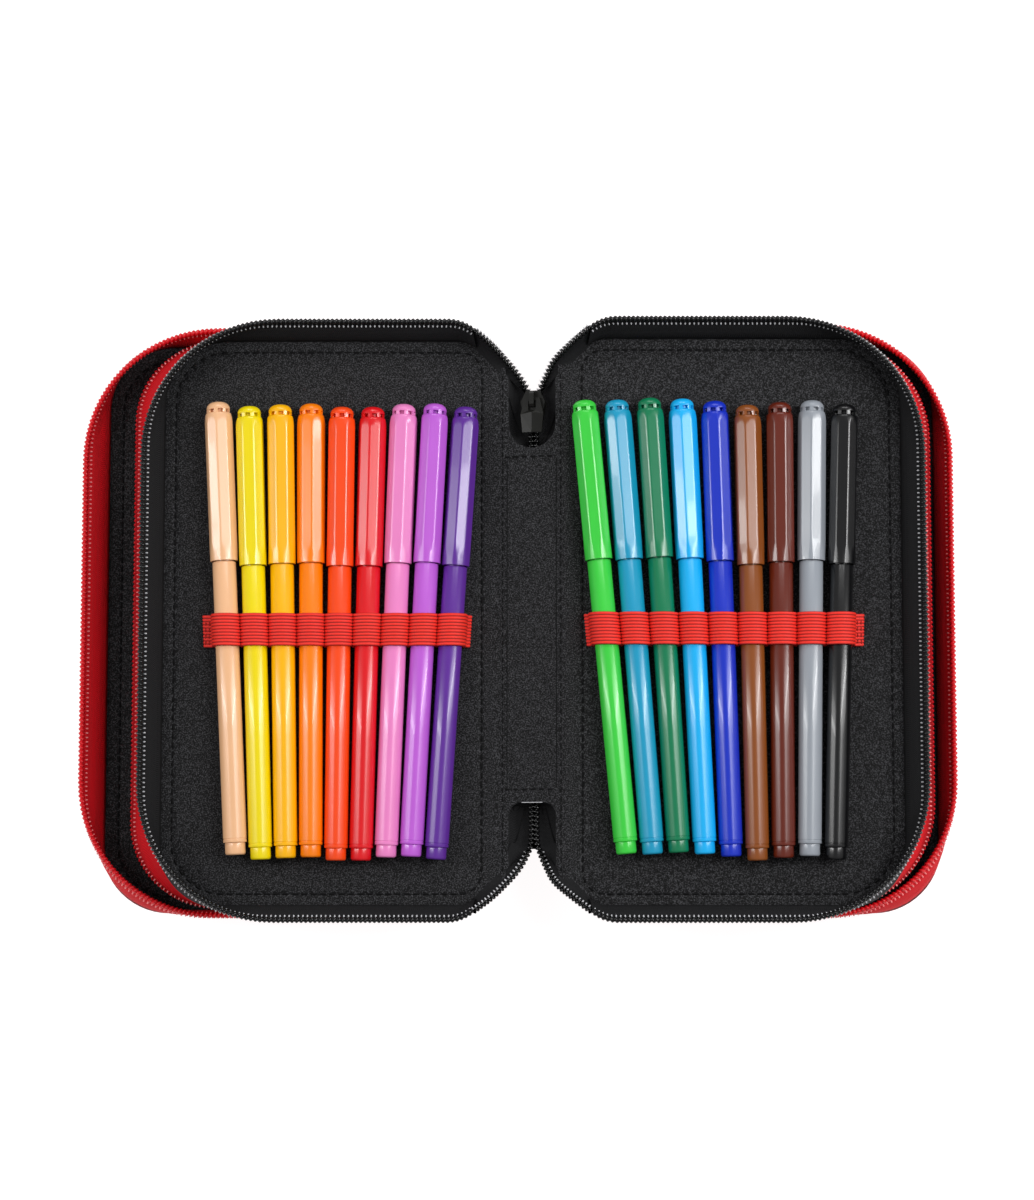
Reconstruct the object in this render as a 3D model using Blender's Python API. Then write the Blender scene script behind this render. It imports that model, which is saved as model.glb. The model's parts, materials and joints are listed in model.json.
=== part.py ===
"""A three-zip pencil case, opened flat at its middle compartment, with eighteen felt-tip pens.

Metres, +Z up. The middle spine strip lies along Y. Each half of the case is built in side space:
u runs outward from the fold beside the middle strip, and each half's side turns u into X.
"""

import math

import bmesh
import bpy
from mathutils import Vector

MM = 0.001

# Fits between the pieces
GAP = 0.3 * MM

# The divider leaf of each half, which carries the pens
LEAF_SIDE_MARGIN = 22.4 * MM
LEAF_END_MARGIN = 20.0 * MM
LEAF_THICKNESS = 3.0 * MM
LEAF_FOLD_SETBACK = 0.3 * MM
LEAF_CORNER = 22.0 * MM
FOLD_CORNER = 7.0 * MM

# The outer cover of each half
COVER_SIDE_OVERHANG = 4.0 * MM
COVER_END_OVERHANG = 1.5 * MM
COVER_THICKNESS = 2.5 * MM
COVER_FOLD_SETBACK = 0.5 * MM
COVER_CORNER = 23.0 * MM

# The three spine strips, from fold to fold
STRIP_WIDTH = 24.0 * MM
STRIP_THICKNESS = 1.2 * MM
STRIP_END_SETBACK = 1.0 * MM
MIDDLE_STRIP_SETBACK = 0.3 * MM
MIDDLE_STRIP_SHORTFALL = 9.0 * MM
OUTER_STRIP_SHORTFALL = 4.0 * MM

# How far each outer strip leans outward where the case lies open
LEFT_LEAN = 17.0 * MM
RIGHT_LEAN = 10.0 * MM

# The notch at each end of the middle strip, which the middle zip ends in
NOTCH_HALF_WIDTH = 8.0 * MM
NOTCH_DEPTH = 28.5 * MM
TRAY_LAP = 1.8 * MM
TRAY_DEPTH = 4.2 * MM
TRAY_TAPER = 2.4 * MM
TRAY_WALL = 0.8 * MM

# Zip tapes that stand round a leaf or a cover, and the coil along their rim
TAPE_THICKNESS = 0.8 * MM
TAPE_HEIGHT = 9.6 * MM
COIL_HALF_WIDTH = 1.3 * MM
COIL_HEIGHT = 1.9 * MM
COIL_TOP_HALF_WIDTH = 0.7 * MM
BASE_INSET = 0.3 * MM
RIM_CORNER = 45.0 * MM
RIM_FOLD_CORNER = 20.0 * MM
PEN_ZIP_FLARE = 4.5 * MM
BACK_ZIP_SIDE_FLARE = 7.0 * MM
BACK_ZIP_END_DRAW = 1.2 * MM
COVER_ZIP_SIDE_FLARE = 5.0 * MM
COVER_ZIP_END_FLARE = 3.5 * MM
ZIP_START = 2.5 * MM

# Chain ends, sliders and pull tabs
CHAIN_HALF_PITCH = 0.9 * MM
CHAIN_TURN_START_SHARE = 0.3
CHAIN_TURN_END_SHARE = 0.7
CHAIN_PITCH = 1.75 * MM
CHAIN_ROW_HALF_WIDTH = 0.75 * MM
CHAIN_NECK_HALF_WIDTH = 0.5 * MM
CHAIN_HEIGHT = 1.5 * MM
TOP_TURN_COUNT = 5
BOTTOM_TURN_COUNT = 8
OUTER_TURN_COUNT = 4
CHAIN_NOTCH_INSET = 0.5 * MM
CHAIN_OUTER_LENGTH = 33.0 * MM
MIDDLE_SPLAY_REACH = 7.5 * MM
OUTER_SPLAY_REACH = 6.4 * MM
SPLAY_MARGIN = 3.0 * MM
SPLAY_STEPS = 4
SLIDER_LENGTH = 10.0 * MM
SLIDER_SHOULDER_HALF_WIDTH = 4.2 * MM
SLIDER_TAIL_HALF_WIDTH = 2.9 * MM
SLIDER_SHOULDER_SHARE = 0.62
SLIDER_NOSE_SHARE = 0.55
SLIDER_PLATE = 0.9 * MM
SLIDER_POST_HALF_WIDTH = 0.55 * MM
SLIDER_POST_LENGTH = 2.2 * MM
BAIL_HALF_LENGTH = 2.6 * MM
BAIL_HALF_WIDTH = 0.8 * MM
BAIL_SETBACK = 0.5 * MM
BAIL_HEIGHT = 2.6 * MM
BAIL_THICKNESS = 0.8 * MM
PULL_LENGTH = 11.3 * MM
PULL_WIDEST_SHARE = 0.45
PULL_HALF_WIDTH = 3.9 * MM
PULL_TOP_HALF_WIDTH = 2.6 * MM
PULL_FOOT_HALF_WIDTH = 3.3 * MM
PULL_THICKNESS = 1.0 * MM
PULL_RIDGE = 0.6 * MM
PULL_EYE_HALF_WIDTH = 1.3 * MM
PULL_EYE_LENGTH = 3.4 * MM
PULL_BAR_RADIUS = 0.5 * MM

# Pens
PEN_COUNT = 9
BARREL_RADIUS = 3.95 * MM
BARREL_SIDES = 10
PLUG_RADIUS = 3.4 * MM
PLUG_LENGTH = 4.1 * MM
PEN_LENGTH = 152.0 * MM
NECK_RADIUS = 3.2 * MM
NECK_LENGTH = 20.0 * MM
TIP_CONE_LENGTH = 6.0 * MM
TIP_RADIUS = 1.3 * MM
TIP_LENGTH = 6.0 * MM
CAP_LENGTH = 54.0 * MM
CAP_CORNER_RADIUS = 4.8 * MM
CAP_MOUTH_RADIUS = 4.65 * MM
CAP_BORE_CORNER_RADIUS = 3.9 * MM
CAP_FACETS = 8
CAP_FACET_START = 5.5 * MM
CAP_SHOULDER = 2.3 * MM
CAP_VENT_SILL = 1.5 * MM
CAP_VENT_HEIGHT = 1.2 * MM
CAP_VENT_RADIUS = 3.95 * MM
CAP_VENT_WALL = 0.8 * MM
CAP_DOME_HEIGHT = 2.7 * MM
CAP_DOME_WAIST_SHARE = 0.72
CAP_DOME_RISE_SHARE = 0.72
PEN_DROP = 3.5 * MM
PEN_SLACK = 2.0 * MM

# The elastic bands that hold the pens
BAND_CENTRE = -3.7 * MM
BAND_WIDTH = 10.8 * MM
BAND_THICKNESS = 0.65 * MM
BAND_RIB = 0.25 * MM
BAND_RIBS = 7
BAND_OUTER_TAB = 3.2 * MM
BAND_INNER_TAB = 1.4 * MM
BAND_TAB_THICKNESS = 1.2 * MM
BAND_ARC_STEPS = 4
BAND_ARCH_STEPS = 5

# Each half: its side, its lean, its pens from the spine outward, and how they fan out
HALVES = {
    "left": {
        "side": -1,
        "lean": LEFT_LEAN,
        "first_pen": 15.2 * MM,
        "pen_pitch": 9.36 * MM,
        "fan_degrees": (-3.7, 2.8),
        "colours": ("purple", "lilac", "pink", "red", "vermilion", "orange", "golden", "yellow", "beige"),
        "lift_shares": (-0.3, 0.2, 0.1, -0.4, -0.4, 0.15, 0.0, -0.25, 0.5),
    },
    "right": {
        "side": 1,
        "lean": RIGHT_LEAN,
        "first_pen": 12.6 * MM,
        "pen_pitch": 9.75 * MM,
        "fan_degrees": (-5.2, 1.75),
        "colours": ("green", "teal", "forest", "sky", "royal", "brown", "umber", "grey", "black"),
        "lift_shares": (0.5, 0.5, 0.8, 0.6, 0.2, -0.45, 0.0, 0.3, -0.3),
    },
}

PEN_COLOURS = {
    "purple": "#6A2AA0",
    "lilac": "#CF6FE0",
    "pink": "#F58CCB",
    "red": "#E8000F",
    "vermilion": "#FF4D0A",
    "orange": "#FF8C00",
    "golden": "#FFC400",
    "yellow": "#EBDD0A",
    "beige": "#F7C69B",
    "green": "#28C840",
    "teal": "#0F9CC4",
    "forest": "#057A4A",
    "sky": "#00AEFF",
    "royal": "#0A2FC8",
    "brown": "#8A4514",
    "umber": "#5A1C10",
    "grey": "#9CA3AB",
    "black": "#0A0A0C",
}

CASE_COLOURS = {
    "black_polyester": ("#202022", 0.8),
    "red_polyester": ("#D8101E", 0.75),
    "black_zip": ("#151516", 0.6),
    "red_zip": ("#C90E1B", 0.6),
    "red_elastic": ("#F02A1E", 0.7),
    "black_enamel": ("#0C0C0E", 0.3),
}

# The boards and strips are as large as the pens that the case is made to hold
PEN_TOP = PEN_LENGTH / 2 - PEN_DROP
WIDEST_ROW = max(half["first_pen"] + (PEN_COUNT - 1) * half["pen_pitch"] for half in HALVES.values())
LEAF_WIDTH = WIDEST_ROW + LEAF_SIDE_MARGIN
LEAF_HALF_HEIGHT = PEN_LENGTH / 2 + LEAF_END_MARGIN
COVER_WIDTH = LEAF_WIDTH + COVER_SIDE_OVERHANG
COVER_HALF_HEIGHT = LEAF_HALF_HEIGHT + COVER_END_OVERHANG
MIDDLE_STRIP_HALF_LENGTH = LEAF_HALF_HEIGHT - MIDDLE_STRIP_SHORTFALL
OUTER_STRIP_HALF_LENGTH = LEAF_HALF_HEIGHT - OUTER_STRIP_SHORTFALL

# Heights and places that follow from the sizes above
COVER_FOLD_HEIGHT = COVER_THICKNESS / 2
LEAF_BOTTOM = {
    name: COVER_FOLD_HEIGHT + math.sqrt(STRIP_WIDTH ** 2 - half["lean"] ** 2)
    for name, half in HALVES.items()
}
LEAF_TOP = {name: bottom + LEAF_THICKNESS for name, bottom in LEAF_BOTTOM.items()}
MIDDLE_RISE = LEAF_TOP["right"] - LEAF_TOP["left"]
MIDDLE_TILT = math.asin(MIDDLE_RISE / STRIP_WIDTH)
HALF_SPAN = STRIP_WIDTH * math.cos(MIDDLE_TILT) / 2
MIDDLE_HEIGHT = (LEAF_TOP["right"] + LEAF_TOP["left"]) / 2
PEN_AXIS_HEIGHT = CAP_MOUTH_RADIUS + GAP
MIDDLE_CHAIN_START = MIDDLE_STRIP_HALF_LENGTH - NOTCH_DEPTH + CHAIN_NOTCH_INSET
OUTER_CHAIN_START = OUTER_STRIP_HALF_LENGTH - CHAIN_OUTER_LENGTH
CHAIN_SPAN = NOTCH_DEPTH - CHAIN_NOTCH_INSET - SPLAY_MARGIN
CHAIN_LIFT = SLIDER_PLATE + 2 * GAP
SLIDER_TOP = CHAIN_LIFT + CHAIN_HEIGHT + GAP + SLIDER_PLATE
TRAY_FLOOR = -STRIP_THICKNESS - GAP - TRAY_DEPTH


def clear_scene():
    for old in list(bpy.data.objects):
        bpy.data.objects.remove(old, do_unlink=True)


def linear(hex_colour):
    """Linear red, green, blue and alpha of an sRGB hex colour."""
    channels = []
    for start in (1, 3, 5):
        value = int(hex_colour[start:start + 2], 16) / 255
        channels.append(value / 12.92 if value <= 0.04045 else ((value + 0.055) / 1.055) ** 2.4)
    return (*channels, 1.0)


def make_material(name, hex_colour, roughness):
    material = bpy.data.materials.new(name)
    material.use_nodes = True
    shader = material.node_tree.nodes["Principled BSDF"]
    shader.inputs["Base Color"].default_value = linear(hex_colour)
    shader.inputs["Roughness"].default_value = roughness
    shader.inputs["Metallic"].default_value = 0.0
    return material


def make_empty(name, parent=None, location=(0, 0, 0), rotation=(0, 0, 0)):
    empty = bpy.data.objects.new(name, None)
    bpy.context.collection.objects.link(empty)
    empty.parent = parent
    empty.location = location
    empty.rotation_euler = rotation
    return empty


def make_object(name, shape, material, parent, location=(0, 0, 0), rotation=(0, 0, 0)):
    """Turn a finished bmesh into a named object with its faces pointing out."""
    bmesh.ops.recalc_face_normals(shape, faces=shape.faces)
    mesh = bpy.data.meshes.new(name)
    shape.to_mesh(mesh)
    shape.free()
    mesh.materials.append(material)
    node = bpy.data.objects.new(name, mesh)
    bpy.context.collection.objects.link(node)
    node.parent = parent
    node.location = location
    node.rotation_euler = rotation
    return node


def add_loft(shape, rings):
    """Skin rings of equal length one to the next, and close both ends."""
    made = [[shape.verts.new(point) for point in ring] for ring in rings]
    count = len(made[0])
    for low, high in zip(made, made[1:]):
        for index in range(count):
            after = (index + 1) % count
            shape.faces.new((low[index], low[after], high[after], high[index]))
    shape.faces.new(list(reversed(made[0])))
    shape.faces.new(made[-1])
    return made


def loft(rings):
    shape = bmesh.new()
    add_loft(shape, rings)
    return shape


def prism(outline, low, high):
    """An outline in X and Y, raised from one height to another."""
    return loft([[(x, y, z) for x, y in outline] for z in (low, high)])


def arc(centre, radius, start, end, steps):
    """Points of a round stretch, its angles in degrees."""
    points = []
    for index in range(steps + 1):
        angle = math.radians(start + (end - start) * index / steps)
        points.append((centre[0] + radius * math.cos(angle), centre[1] + radius * math.sin(angle)))
    return points


def fuse(target, shapes):
    """Fuse bmesh shapes, given in the target's own frame, into the target as one body."""
    for index, shape in enumerate(shapes):
        bmesh.ops.recalc_face_normals(shape, faces=shape.faces)
        mesh = bpy.data.meshes.new(f"{target.name}_piece_{index}")
        shape.to_mesh(mesh)
        shape.free()
        piece = bpy.data.objects.new(mesh.name, mesh)
        bpy.context.collection.objects.link(piece)
        piece.parent = target
        piece.hide_render = True
        piece.display_type = "WIRE"
        union = target.modifiers.new("union", "BOOLEAN")
        union.operation = "UNION"
        union.object = piece


# Boards of the leaves and covers

def board_outline(setback, width, half_height, corner, fold_corner, side):
    """A board seen from above, round at its outer corners, its straight edge along the fold."""
    inner = setback + fold_corner
    outer = width - corner
    points = arc((inner, half_height - fold_corner), fold_corner, 180, 90, 3)
    points += arc((outer, half_height - corner), corner, 90, 0, 7)
    lower = [(u, -y) for u, y in reversed(points)]
    return [(side * u, y) for u, y in points + lower]


def make_leaf(name, half, body, materials):
    outline = board_outline(
        LEAF_FOLD_SETBACK, LEAF_WIDTH, LEAF_HALF_HEIGHT, LEAF_CORNER, FOLD_CORNER, half["side"]
    )
    make_object(f"leaf_{name}", prism(outline, -LEAF_THICKNESS, 0), materials["black_polyester"], body)


def make_cover(name, half, body, materials):
    outline = board_outline(
        COVER_FOLD_SETBACK, COVER_WIDTH, COVER_HALF_HEIGHT, COVER_CORNER, FOLD_CORNER, half["side"]
    )
    board = prism(outline, -COVER_THICKNESS / 2, COVER_THICKNESS / 2)
    make_object(f"cover_{name}", board, materials["red_polyester"], body)


# Zip stringers: a tape stands on the board's edge and carries half of the zip's coil on its rim

def zip_line(width, half_height, corner, fold_corner):
    """Round a board from one end of the fold to the other, each point with its outward direction."""
    quarter = [((width - corner, half_height - corner), corner, 90, 0, 6)]
    if fold_corner:
        turn = ((ZIP_START + fold_corner, half_height - fold_corner), fold_corner, 160, 90, 3)
        quarter.insert(0, turn)
    else:
        quarter.insert(0, ((ZIP_START, half_height), 0, 90, 90, 0))
    stations = []
    for centre, radius, start, end, steps in quarter:
        for index in range(steps + 1):
            angle = math.radians(start + (end - start) * index / max(steps, 1))
            outward = Vector((math.cos(angle), math.sin(angle)))
            stations.append((Vector(centre) + radius * outward, outward))
    mirror = [(Vector((p.x, -p.y)), Vector((n.x, -n.y))) for p, n in reversed(stations)]
    return stations + mirror


def zip_section(base, rim, outward, up):
    """The tape's section from its foot to the coil; up is 1 above a board and -1 below it."""
    inner_base = base - outward * TAPE_THICKNESS
    inner_rim = rim - outward * TAPE_THICKNESS
    middle = (rim + inner_rim) / 2
    coil_middle = TAPE_HEIGHT + COIL_HEIGHT / 3
    coil_top = TAPE_HEIGHT + COIL_HEIGHT
    profile = [
        (base, 0),
        (rim, TAPE_HEIGHT),
        (middle + outward * COIL_HALF_WIDTH, coil_middle),
        (middle + outward * COIL_TOP_HALF_WIDTH, coil_top),
        (middle - outward * COIL_TOP_HALF_WIDTH, coil_top),
        (middle - outward * COIL_HALF_WIDTH, coil_middle),
        (inner_rim, TAPE_HEIGHT),
        (inner_base, 0),
    ]
    return [(point.x, point.y, up * height) for point, height in profile]


def make_stringer(name, half, body, material, board, flares, fold_corners, foot, up):
    """A tape whose rim stands out by the side flare and the end flare and rounds off its corners."""
    width, half_height, corner = board
    side_flare, end_flare = flares
    base_turn, rim_turn = fold_corners
    bases = zip_line(width - BASE_INSET, half_height - BASE_INSET, corner, base_turn)
    rims = zip_line(
        width - BASE_INSET + side_flare, half_height - BASE_INSET + end_flare, RIM_CORNER, rim_turn
    )
    rings = []
    for (base, outward), (rim, _) in zip(bases, rims):
        section = zip_section(base, rim, outward, up)
        rings.append([(half["side"] * u, y, foot + z) for u, y, z in section])
    make_object(name, loft(rings), material, body)


# Spine strips

def notched_strip_outline():
    """The middle strip from above: a round-bottomed notch at each end for the middle zip."""
    edge = STRIP_WIDTH / 2 - MIDDLE_STRIP_SETBACK
    floor = MIDDLE_STRIP_HALF_LENGTH - NOTCH_DEPTH
    centre = (0, floor + NOTCH_HALF_WIDTH)
    upper = [(-edge, MIDDLE_STRIP_HALF_LENGTH), (-NOTCH_HALF_WIDTH, MIDDLE_STRIP_HALF_LENGTH)]
    upper += arc(centre, NOTCH_HALF_WIDTH, 180, 360, 8)
    upper += [(NOTCH_HALF_WIDTH, MIDDLE_STRIP_HALF_LENGTH), (edge, MIDDLE_STRIP_HALF_LENGTH)]
    lower = [(x, -y) for x, y in reversed(upper)]
    return upper + lower


def make_middle_strip(body, materials):
    strip = prism(notched_strip_outline(), -STRIP_THICKNESS, 0)
    make_object("spine_middle", strip, materials["black_polyester"], body)


def chain_rows(start, turns):
    """Two rows of coil turns side by side, as wide at each turn as the coils reach."""
    turn = (
        (0, CHAIN_NECK_HALF_WIDTH),
        (CHAIN_TURN_START_SHARE, CHAIN_ROW_HALF_WIDTH),
        (CHAIN_TURN_END_SHARE, CHAIN_ROW_HALF_WIDTH),
    )
    outline = []
    for index in range(turns):
        for share, reach in turn:
            outline.append((CHAIN_HALF_PITCH + reach, start + (index + share) * CHAIN_PITCH))
    outline.append((CHAIN_HALF_PITCH + CHAIN_NECK_HALF_WIDTH, start + turns * CHAIN_PITCH))
    return outline + [(-x, y) for x, y in reversed(outline)]


def chain_splay(side, start, turns, splay_reach):
    """One coil where it leaves the joined chain and bends away to its leaf."""
    parting = start + turns * CHAIN_PITCH
    end = start + CHAIN_SPAN
    points = [Vector((side * CHAIN_HALF_PITCH, parting - CHAIN_PITCH))]
    for index in range(SPLAY_STEPS + 1):
        share = index / SPLAY_STEPS
        reach = CHAIN_HALF_PITCH + (splay_reach - CHAIN_HALF_PITCH) * share ** 2
        points.append(Vector((side * reach, parting + (end - parting) * share)))
    near_edge = []
    far_edge = []
    for index, point in enumerate(points):
        before = points[max(index - 1, 0)]
        after = points[min(index + 1, len(points) - 1)]
        along = (after - before).normalized()
        across = Vector((-along.y, along.x)) * CHAIN_NECK_HALF_WIDTH
        near_edge.append(point + across)
        far_edge.append(point - across)
    return [(p.x, p.y) for p in near_edge + list(reversed(far_edge))]


def chain_shapes(start, turns, toward, top, splay_reach):
    """Joined coils rooted in the cloth whose face is at the height top, and their two free ends."""
    foot = top + CHAIN_LIFT
    placed = [(chain_rows(start, turns), top - STRIP_THICKNESS / 4, foot + CHAIN_HEIGHT)]
    for side in (-1, 1):
        placed.append((chain_splay(side, start, turns, splay_reach), foot, foot + CHAIN_HEIGHT))
    return [prism([(x, toward * y) for x, y in outline], low, high) for outline, low, high in placed]


def tray_ring(reach, end, toward, height):
    """A U round the strip's notch, its open side closed at the end of the strip."""
    centre = (0, MIDDLE_STRIP_HALF_LENGTH - NOTCH_DEPTH + NOTCH_HALF_WIDTH)
    outline = [(-reach, end)] + arc(centre, reach, 180, 360, 8) + [(reach, end)]
    return [(x, toward * y, height) for x, y in outline]


def make_chain_end(name, body, materials, turns, toward):
    """The end of the middle zip: a shallow twill pocket under the notch, and the joined coils in it."""
    rim = NOTCH_HALF_WIDTH + TRAY_LAP
    foot = rim - TRAY_TAPER
    end = MIDDLE_STRIP_HALF_LENGTH
    rings = [
        tray_ring(foot, end, toward, TRAY_FLOOR - TRAY_WALL),
        tray_ring(rim, end, toward, -STRIP_THICKNESS - GAP),
        tray_ring(rim - TRAY_WALL, end - TRAY_WALL, toward, -STRIP_THICKNESS - GAP),
        tray_ring(foot - TRAY_WALL, end - TRAY_WALL, toward, TRAY_FLOOR),
    ]
    node = make_object(name, loft(rings), materials["black_zip"], body)
    fuse(node, chain_shapes(MIDDLE_CHAIN_START, turns, toward, TRAY_FLOOR, MIDDLE_SPLAY_REACH))


def make_outer_strip(name, body, materials):
    """A strip between a leaf and its cover, with the sewn-in end of the outer zip on its back."""
    edge = STRIP_WIDTH / 2 - STRIP_END_SETBACK
    ends = OUTER_STRIP_HALF_LENGTH
    outline = [(-edge, -ends), (edge, -ends), (edge, ends), (-edge, ends)]
    strip = prism(outline, -STRIP_THICKNESS / 2, STRIP_THICKNESS / 2)
    node = make_object(f"spine_{name}", strip, materials["red_polyester"], body)
    back = STRIP_THICKNESS / 2
    fuse(node, chain_shapes(OUTER_CHAIN_START, OUTER_TURN_COUNT, -1, back, OUTER_SPLAY_REACH))


# Sliders and pull tabs

def pull_axis(tail, top):
    """Distance along the chain and height of the bar that a pull tab turns on."""
    along = tail + SLIDER_LENGTH - BAIL_HALF_LENGTH - BAIL_SETBACK
    height = top + SLIDER_TOP + (BAIL_HEIGHT - BAIL_THICKNESS) / 2
    return along, height


def make_slider(name, body, materials, tail, toward, top):
    """Two plates joined by a post between the parting coils, and a bail for the pull tab."""
    head = tail + SLIDER_LENGTH
    shoulder = tail + SLIDER_LENGTH * SLIDER_SHOULDER_SHARE
    nose = SLIDER_SHOULDER_HALF_WIDTH * SLIDER_NOSE_SHARE
    plate = [
        (-SLIDER_TAIL_HALF_WIDTH, tail), (SLIDER_TAIL_HALF_WIDTH, tail),
        (SLIDER_SHOULDER_HALF_WIDTH, shoulder), (nose, head),
        (-nose, head), (-SLIDER_SHOULDER_HALF_WIDTH, shoulder),
    ]
    low = top + GAP
    high = top + SLIDER_TOP
    post_end = head - SLIDER_PLATE
    post_start = post_end - SLIDER_POST_LENGTH
    post = [
        (0, post_start), (SLIDER_POST_HALF_WIDTH, (post_start + post_end) / 2),
        (0, post_end), (-SLIDER_POST_HALF_WIDTH, (post_start + post_end) / 2),
    ]
    placed = [
        (plate, low, low + SLIDER_PLATE),
        (plate, high - SLIDER_PLATE, high),
        (post, low + SLIDER_PLATE / 2, high - SLIDER_PLATE / 2),
    ]
    shapes = [prism([(x, toward * y) for x, y in outline], z0, z1) for outline, z0, z1 in placed]
    shapes.append(bail_shape(pull_axis(tail, top)[0], toward, high))
    node = make_object(name, shapes[0], materials["black_enamel"], body)
    fuse(node, shapes[1:])


def bail_shape(along, toward, foot):
    """An arch over the pull tab's bar, its feet in the slider's upper plate."""
    sunk = foot - SLIDER_PLATE / 2
    top = foot + BAIL_HEIGHT
    inner_top = top - BAIL_THICKNESS
    inner = BAIL_HALF_LENGTH - BAIL_THICKNESS
    corner = BAIL_THICKNESS
    side_view = [
        (-BAIL_HALF_LENGTH, sunk), (-BAIL_HALF_LENGTH, top - corner), (-inner, top),
        (inner, top), (BAIL_HALF_LENGTH, top - corner), (BAIL_HALF_LENGTH, sunk),
        (inner, sunk), (inner, inner_top), (-inner, inner_top), (-inner, sunk),
    ]
    rings = []
    for x in (-BAIL_HALF_WIDTH, BAIL_HALF_WIDTH):
        rings.append([(x, toward * (along + y), z) for y, z in side_view])
    return loft(rings)


def make_pull_tab(name, body, materials, tail, toward, top):
    """A faceted tab with an eye; its origin is on the bar that turns under the bail."""
    along, height = pull_axis(tail, top)
    eye_end = PULL_BAR_RADIUS + PULL_EYE_LENGTH
    wide = PULL_LENGTH * PULL_WIDEST_SHARE
    half = PULL_THICKNESS / 2
    bar = PULL_BAR_RADIUS
    outer = [
        (-PULL_TOP_HALF_WIDTH, -bar), (-PULL_HALF_WIDTH, wide), (-PULL_FOOT_HALF_WIDTH, PULL_LENGTH),
        (PULL_FOOT_HALF_WIDTH, PULL_LENGTH), (PULL_HALF_WIDTH, wide), (PULL_TOP_HALF_WIDTH, -bar),
    ]
    eye = [
        (-PULL_EYE_HALF_WIDTH, bar), (-PULL_EYE_HALF_WIDTH, eye_end),
        (PULL_EYE_HALF_WIDTH, eye_end), (PULL_EYE_HALF_WIDTH, bar),
    ]
    shape = bmesh.new()
    add_faceted_tab(shape, outer, eye, half)
    for vertex in shape.verts:
        vertex.co.y *= -toward
    place = (0, toward * along, height)
    make_object(name, shape, materials["black_enamel"], body, place)


def add_faceted_tab(shape, outer, eye, half):
    """The tab's two faces round its eye; two long facets rise to a ridge below the eye."""
    levels = {}
    for level in (-half, half):
        levels[level] = (
            [shape.verts.new((x, y, level)) for x, y in outer],
            [shape.verts.new((x, y, level)) for x, y in eye],
        )
    eye_foot = eye[1][1]
    ridge_start = shape.verts.new((0, eye_foot + PULL_RIDGE, half + PULL_RIDGE))
    ridge_end = shape.verts.new((0, PULL_LENGTH, half + PULL_RIDGE))
    under = levels[-half]
    over = levels[half]
    for outline in (0, 1):
        low = under[outline]
        high = over[outline]
        for index in range(len(low)):
            after = (index + 1) % len(low)
            if outline == 0 and index == 2:
                shape.faces.new((low[index], low[after], high[after], ridge_end, high[index]))
                continue
            shape.faces.new((low[index], low[after], high[after], high[index]))
    for rim, hole in (under, over):
        shape.faces.new((rim[0], rim[1], hole[1], hole[0]))
        shape.faces.new((rim[5], rim[0], hole[0], hole[3]))
        shape.faces.new((rim[4], rim[5], hole[3], hole[2]))
    rim, hole = under
    shape.faces.new((rim[1], rim[2], rim[3], rim[4], hole[2], hole[1]))
    rim, hole = over
    shape.faces.new((hole[1], rim[1], ridge_start))
    shape.faces.new((rim[4], hole[2], ridge_start))
    shape.faces.new((hole[2], hole[1], ridge_start))
    shape.faces.new((rim[1], rim[2], ridge_end, ridge_start))
    shape.faces.new((rim[3], rim[4], ridge_start, ridge_end))


# Pens: a barrel turned about its own axis, and a hollow cap with eight facets and a vented top

def ring_around_axis(along, radius, count, offset_degrees=0.0):
    """Points round a pen's axis, which runs along Y."""
    points = []
    for index in range(count):
        angle = math.radians(offset_degrees) + 2 * math.pi * index / count
        points.append((radius * math.cos(angle), along, radius * math.sin(angle)))
    return points


def barrel_shape():
    """End plug, barrel, neck and fibre tip, from the bottom end up."""
    mouth = PEN_LENGTH - CAP_LENGTH - GAP
    neck_end = mouth + NECK_LENGTH
    cone_end = neck_end + TIP_CONE_LENGTH
    profile = [
        (0, PLUG_RADIUS),
        (PLUG_LENGTH, PLUG_RADIUS),
        (PLUG_LENGTH, BARREL_RADIUS),
        (mouth, BARREL_RADIUS),
        (mouth, NECK_RADIUS),
        (neck_end, NECK_RADIUS),
        (cone_end, TIP_RADIUS),
        (cone_end + TIP_LENGTH, TIP_RADIUS / 2),
    ]
    return loft([ring_around_axis(along, radius, BARREL_SIDES) for along, radius in profile])


def add_ring(shape, along, radius, count, offset_degrees=0.0):
    return [shape.verts.new(point) for point in ring_around_axis(along, radius, count, offset_degrees)]


def skin_rings(shape, low, high):
    count = len(low)
    for index in range(count):
        after = (index + 1) % count
        shape.faces.new((low[index], low[after], high[after], high[index]))


def skin_round_to_facets(shape, round_ring, facet_ring):
    """Join a round ring to the facet corners; its in-between points make the facets' pointed ends."""
    count = len(facet_ring)
    for index in range(count):
        corner = round_ring[2 * index + 1]
        middle = round_ring[(2 * index + 2) % (2 * count)]
        next_corner = round_ring[(2 * index + 3) % (2 * count)]
        after = (index + 1) % count
        shape.faces.new((corner, middle, facet_ring[index]))
        shape.faces.new((middle, facet_ring[after], facet_ring[index]))
        shape.faces.new((middle, next_corner, facet_ring[after]))


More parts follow.
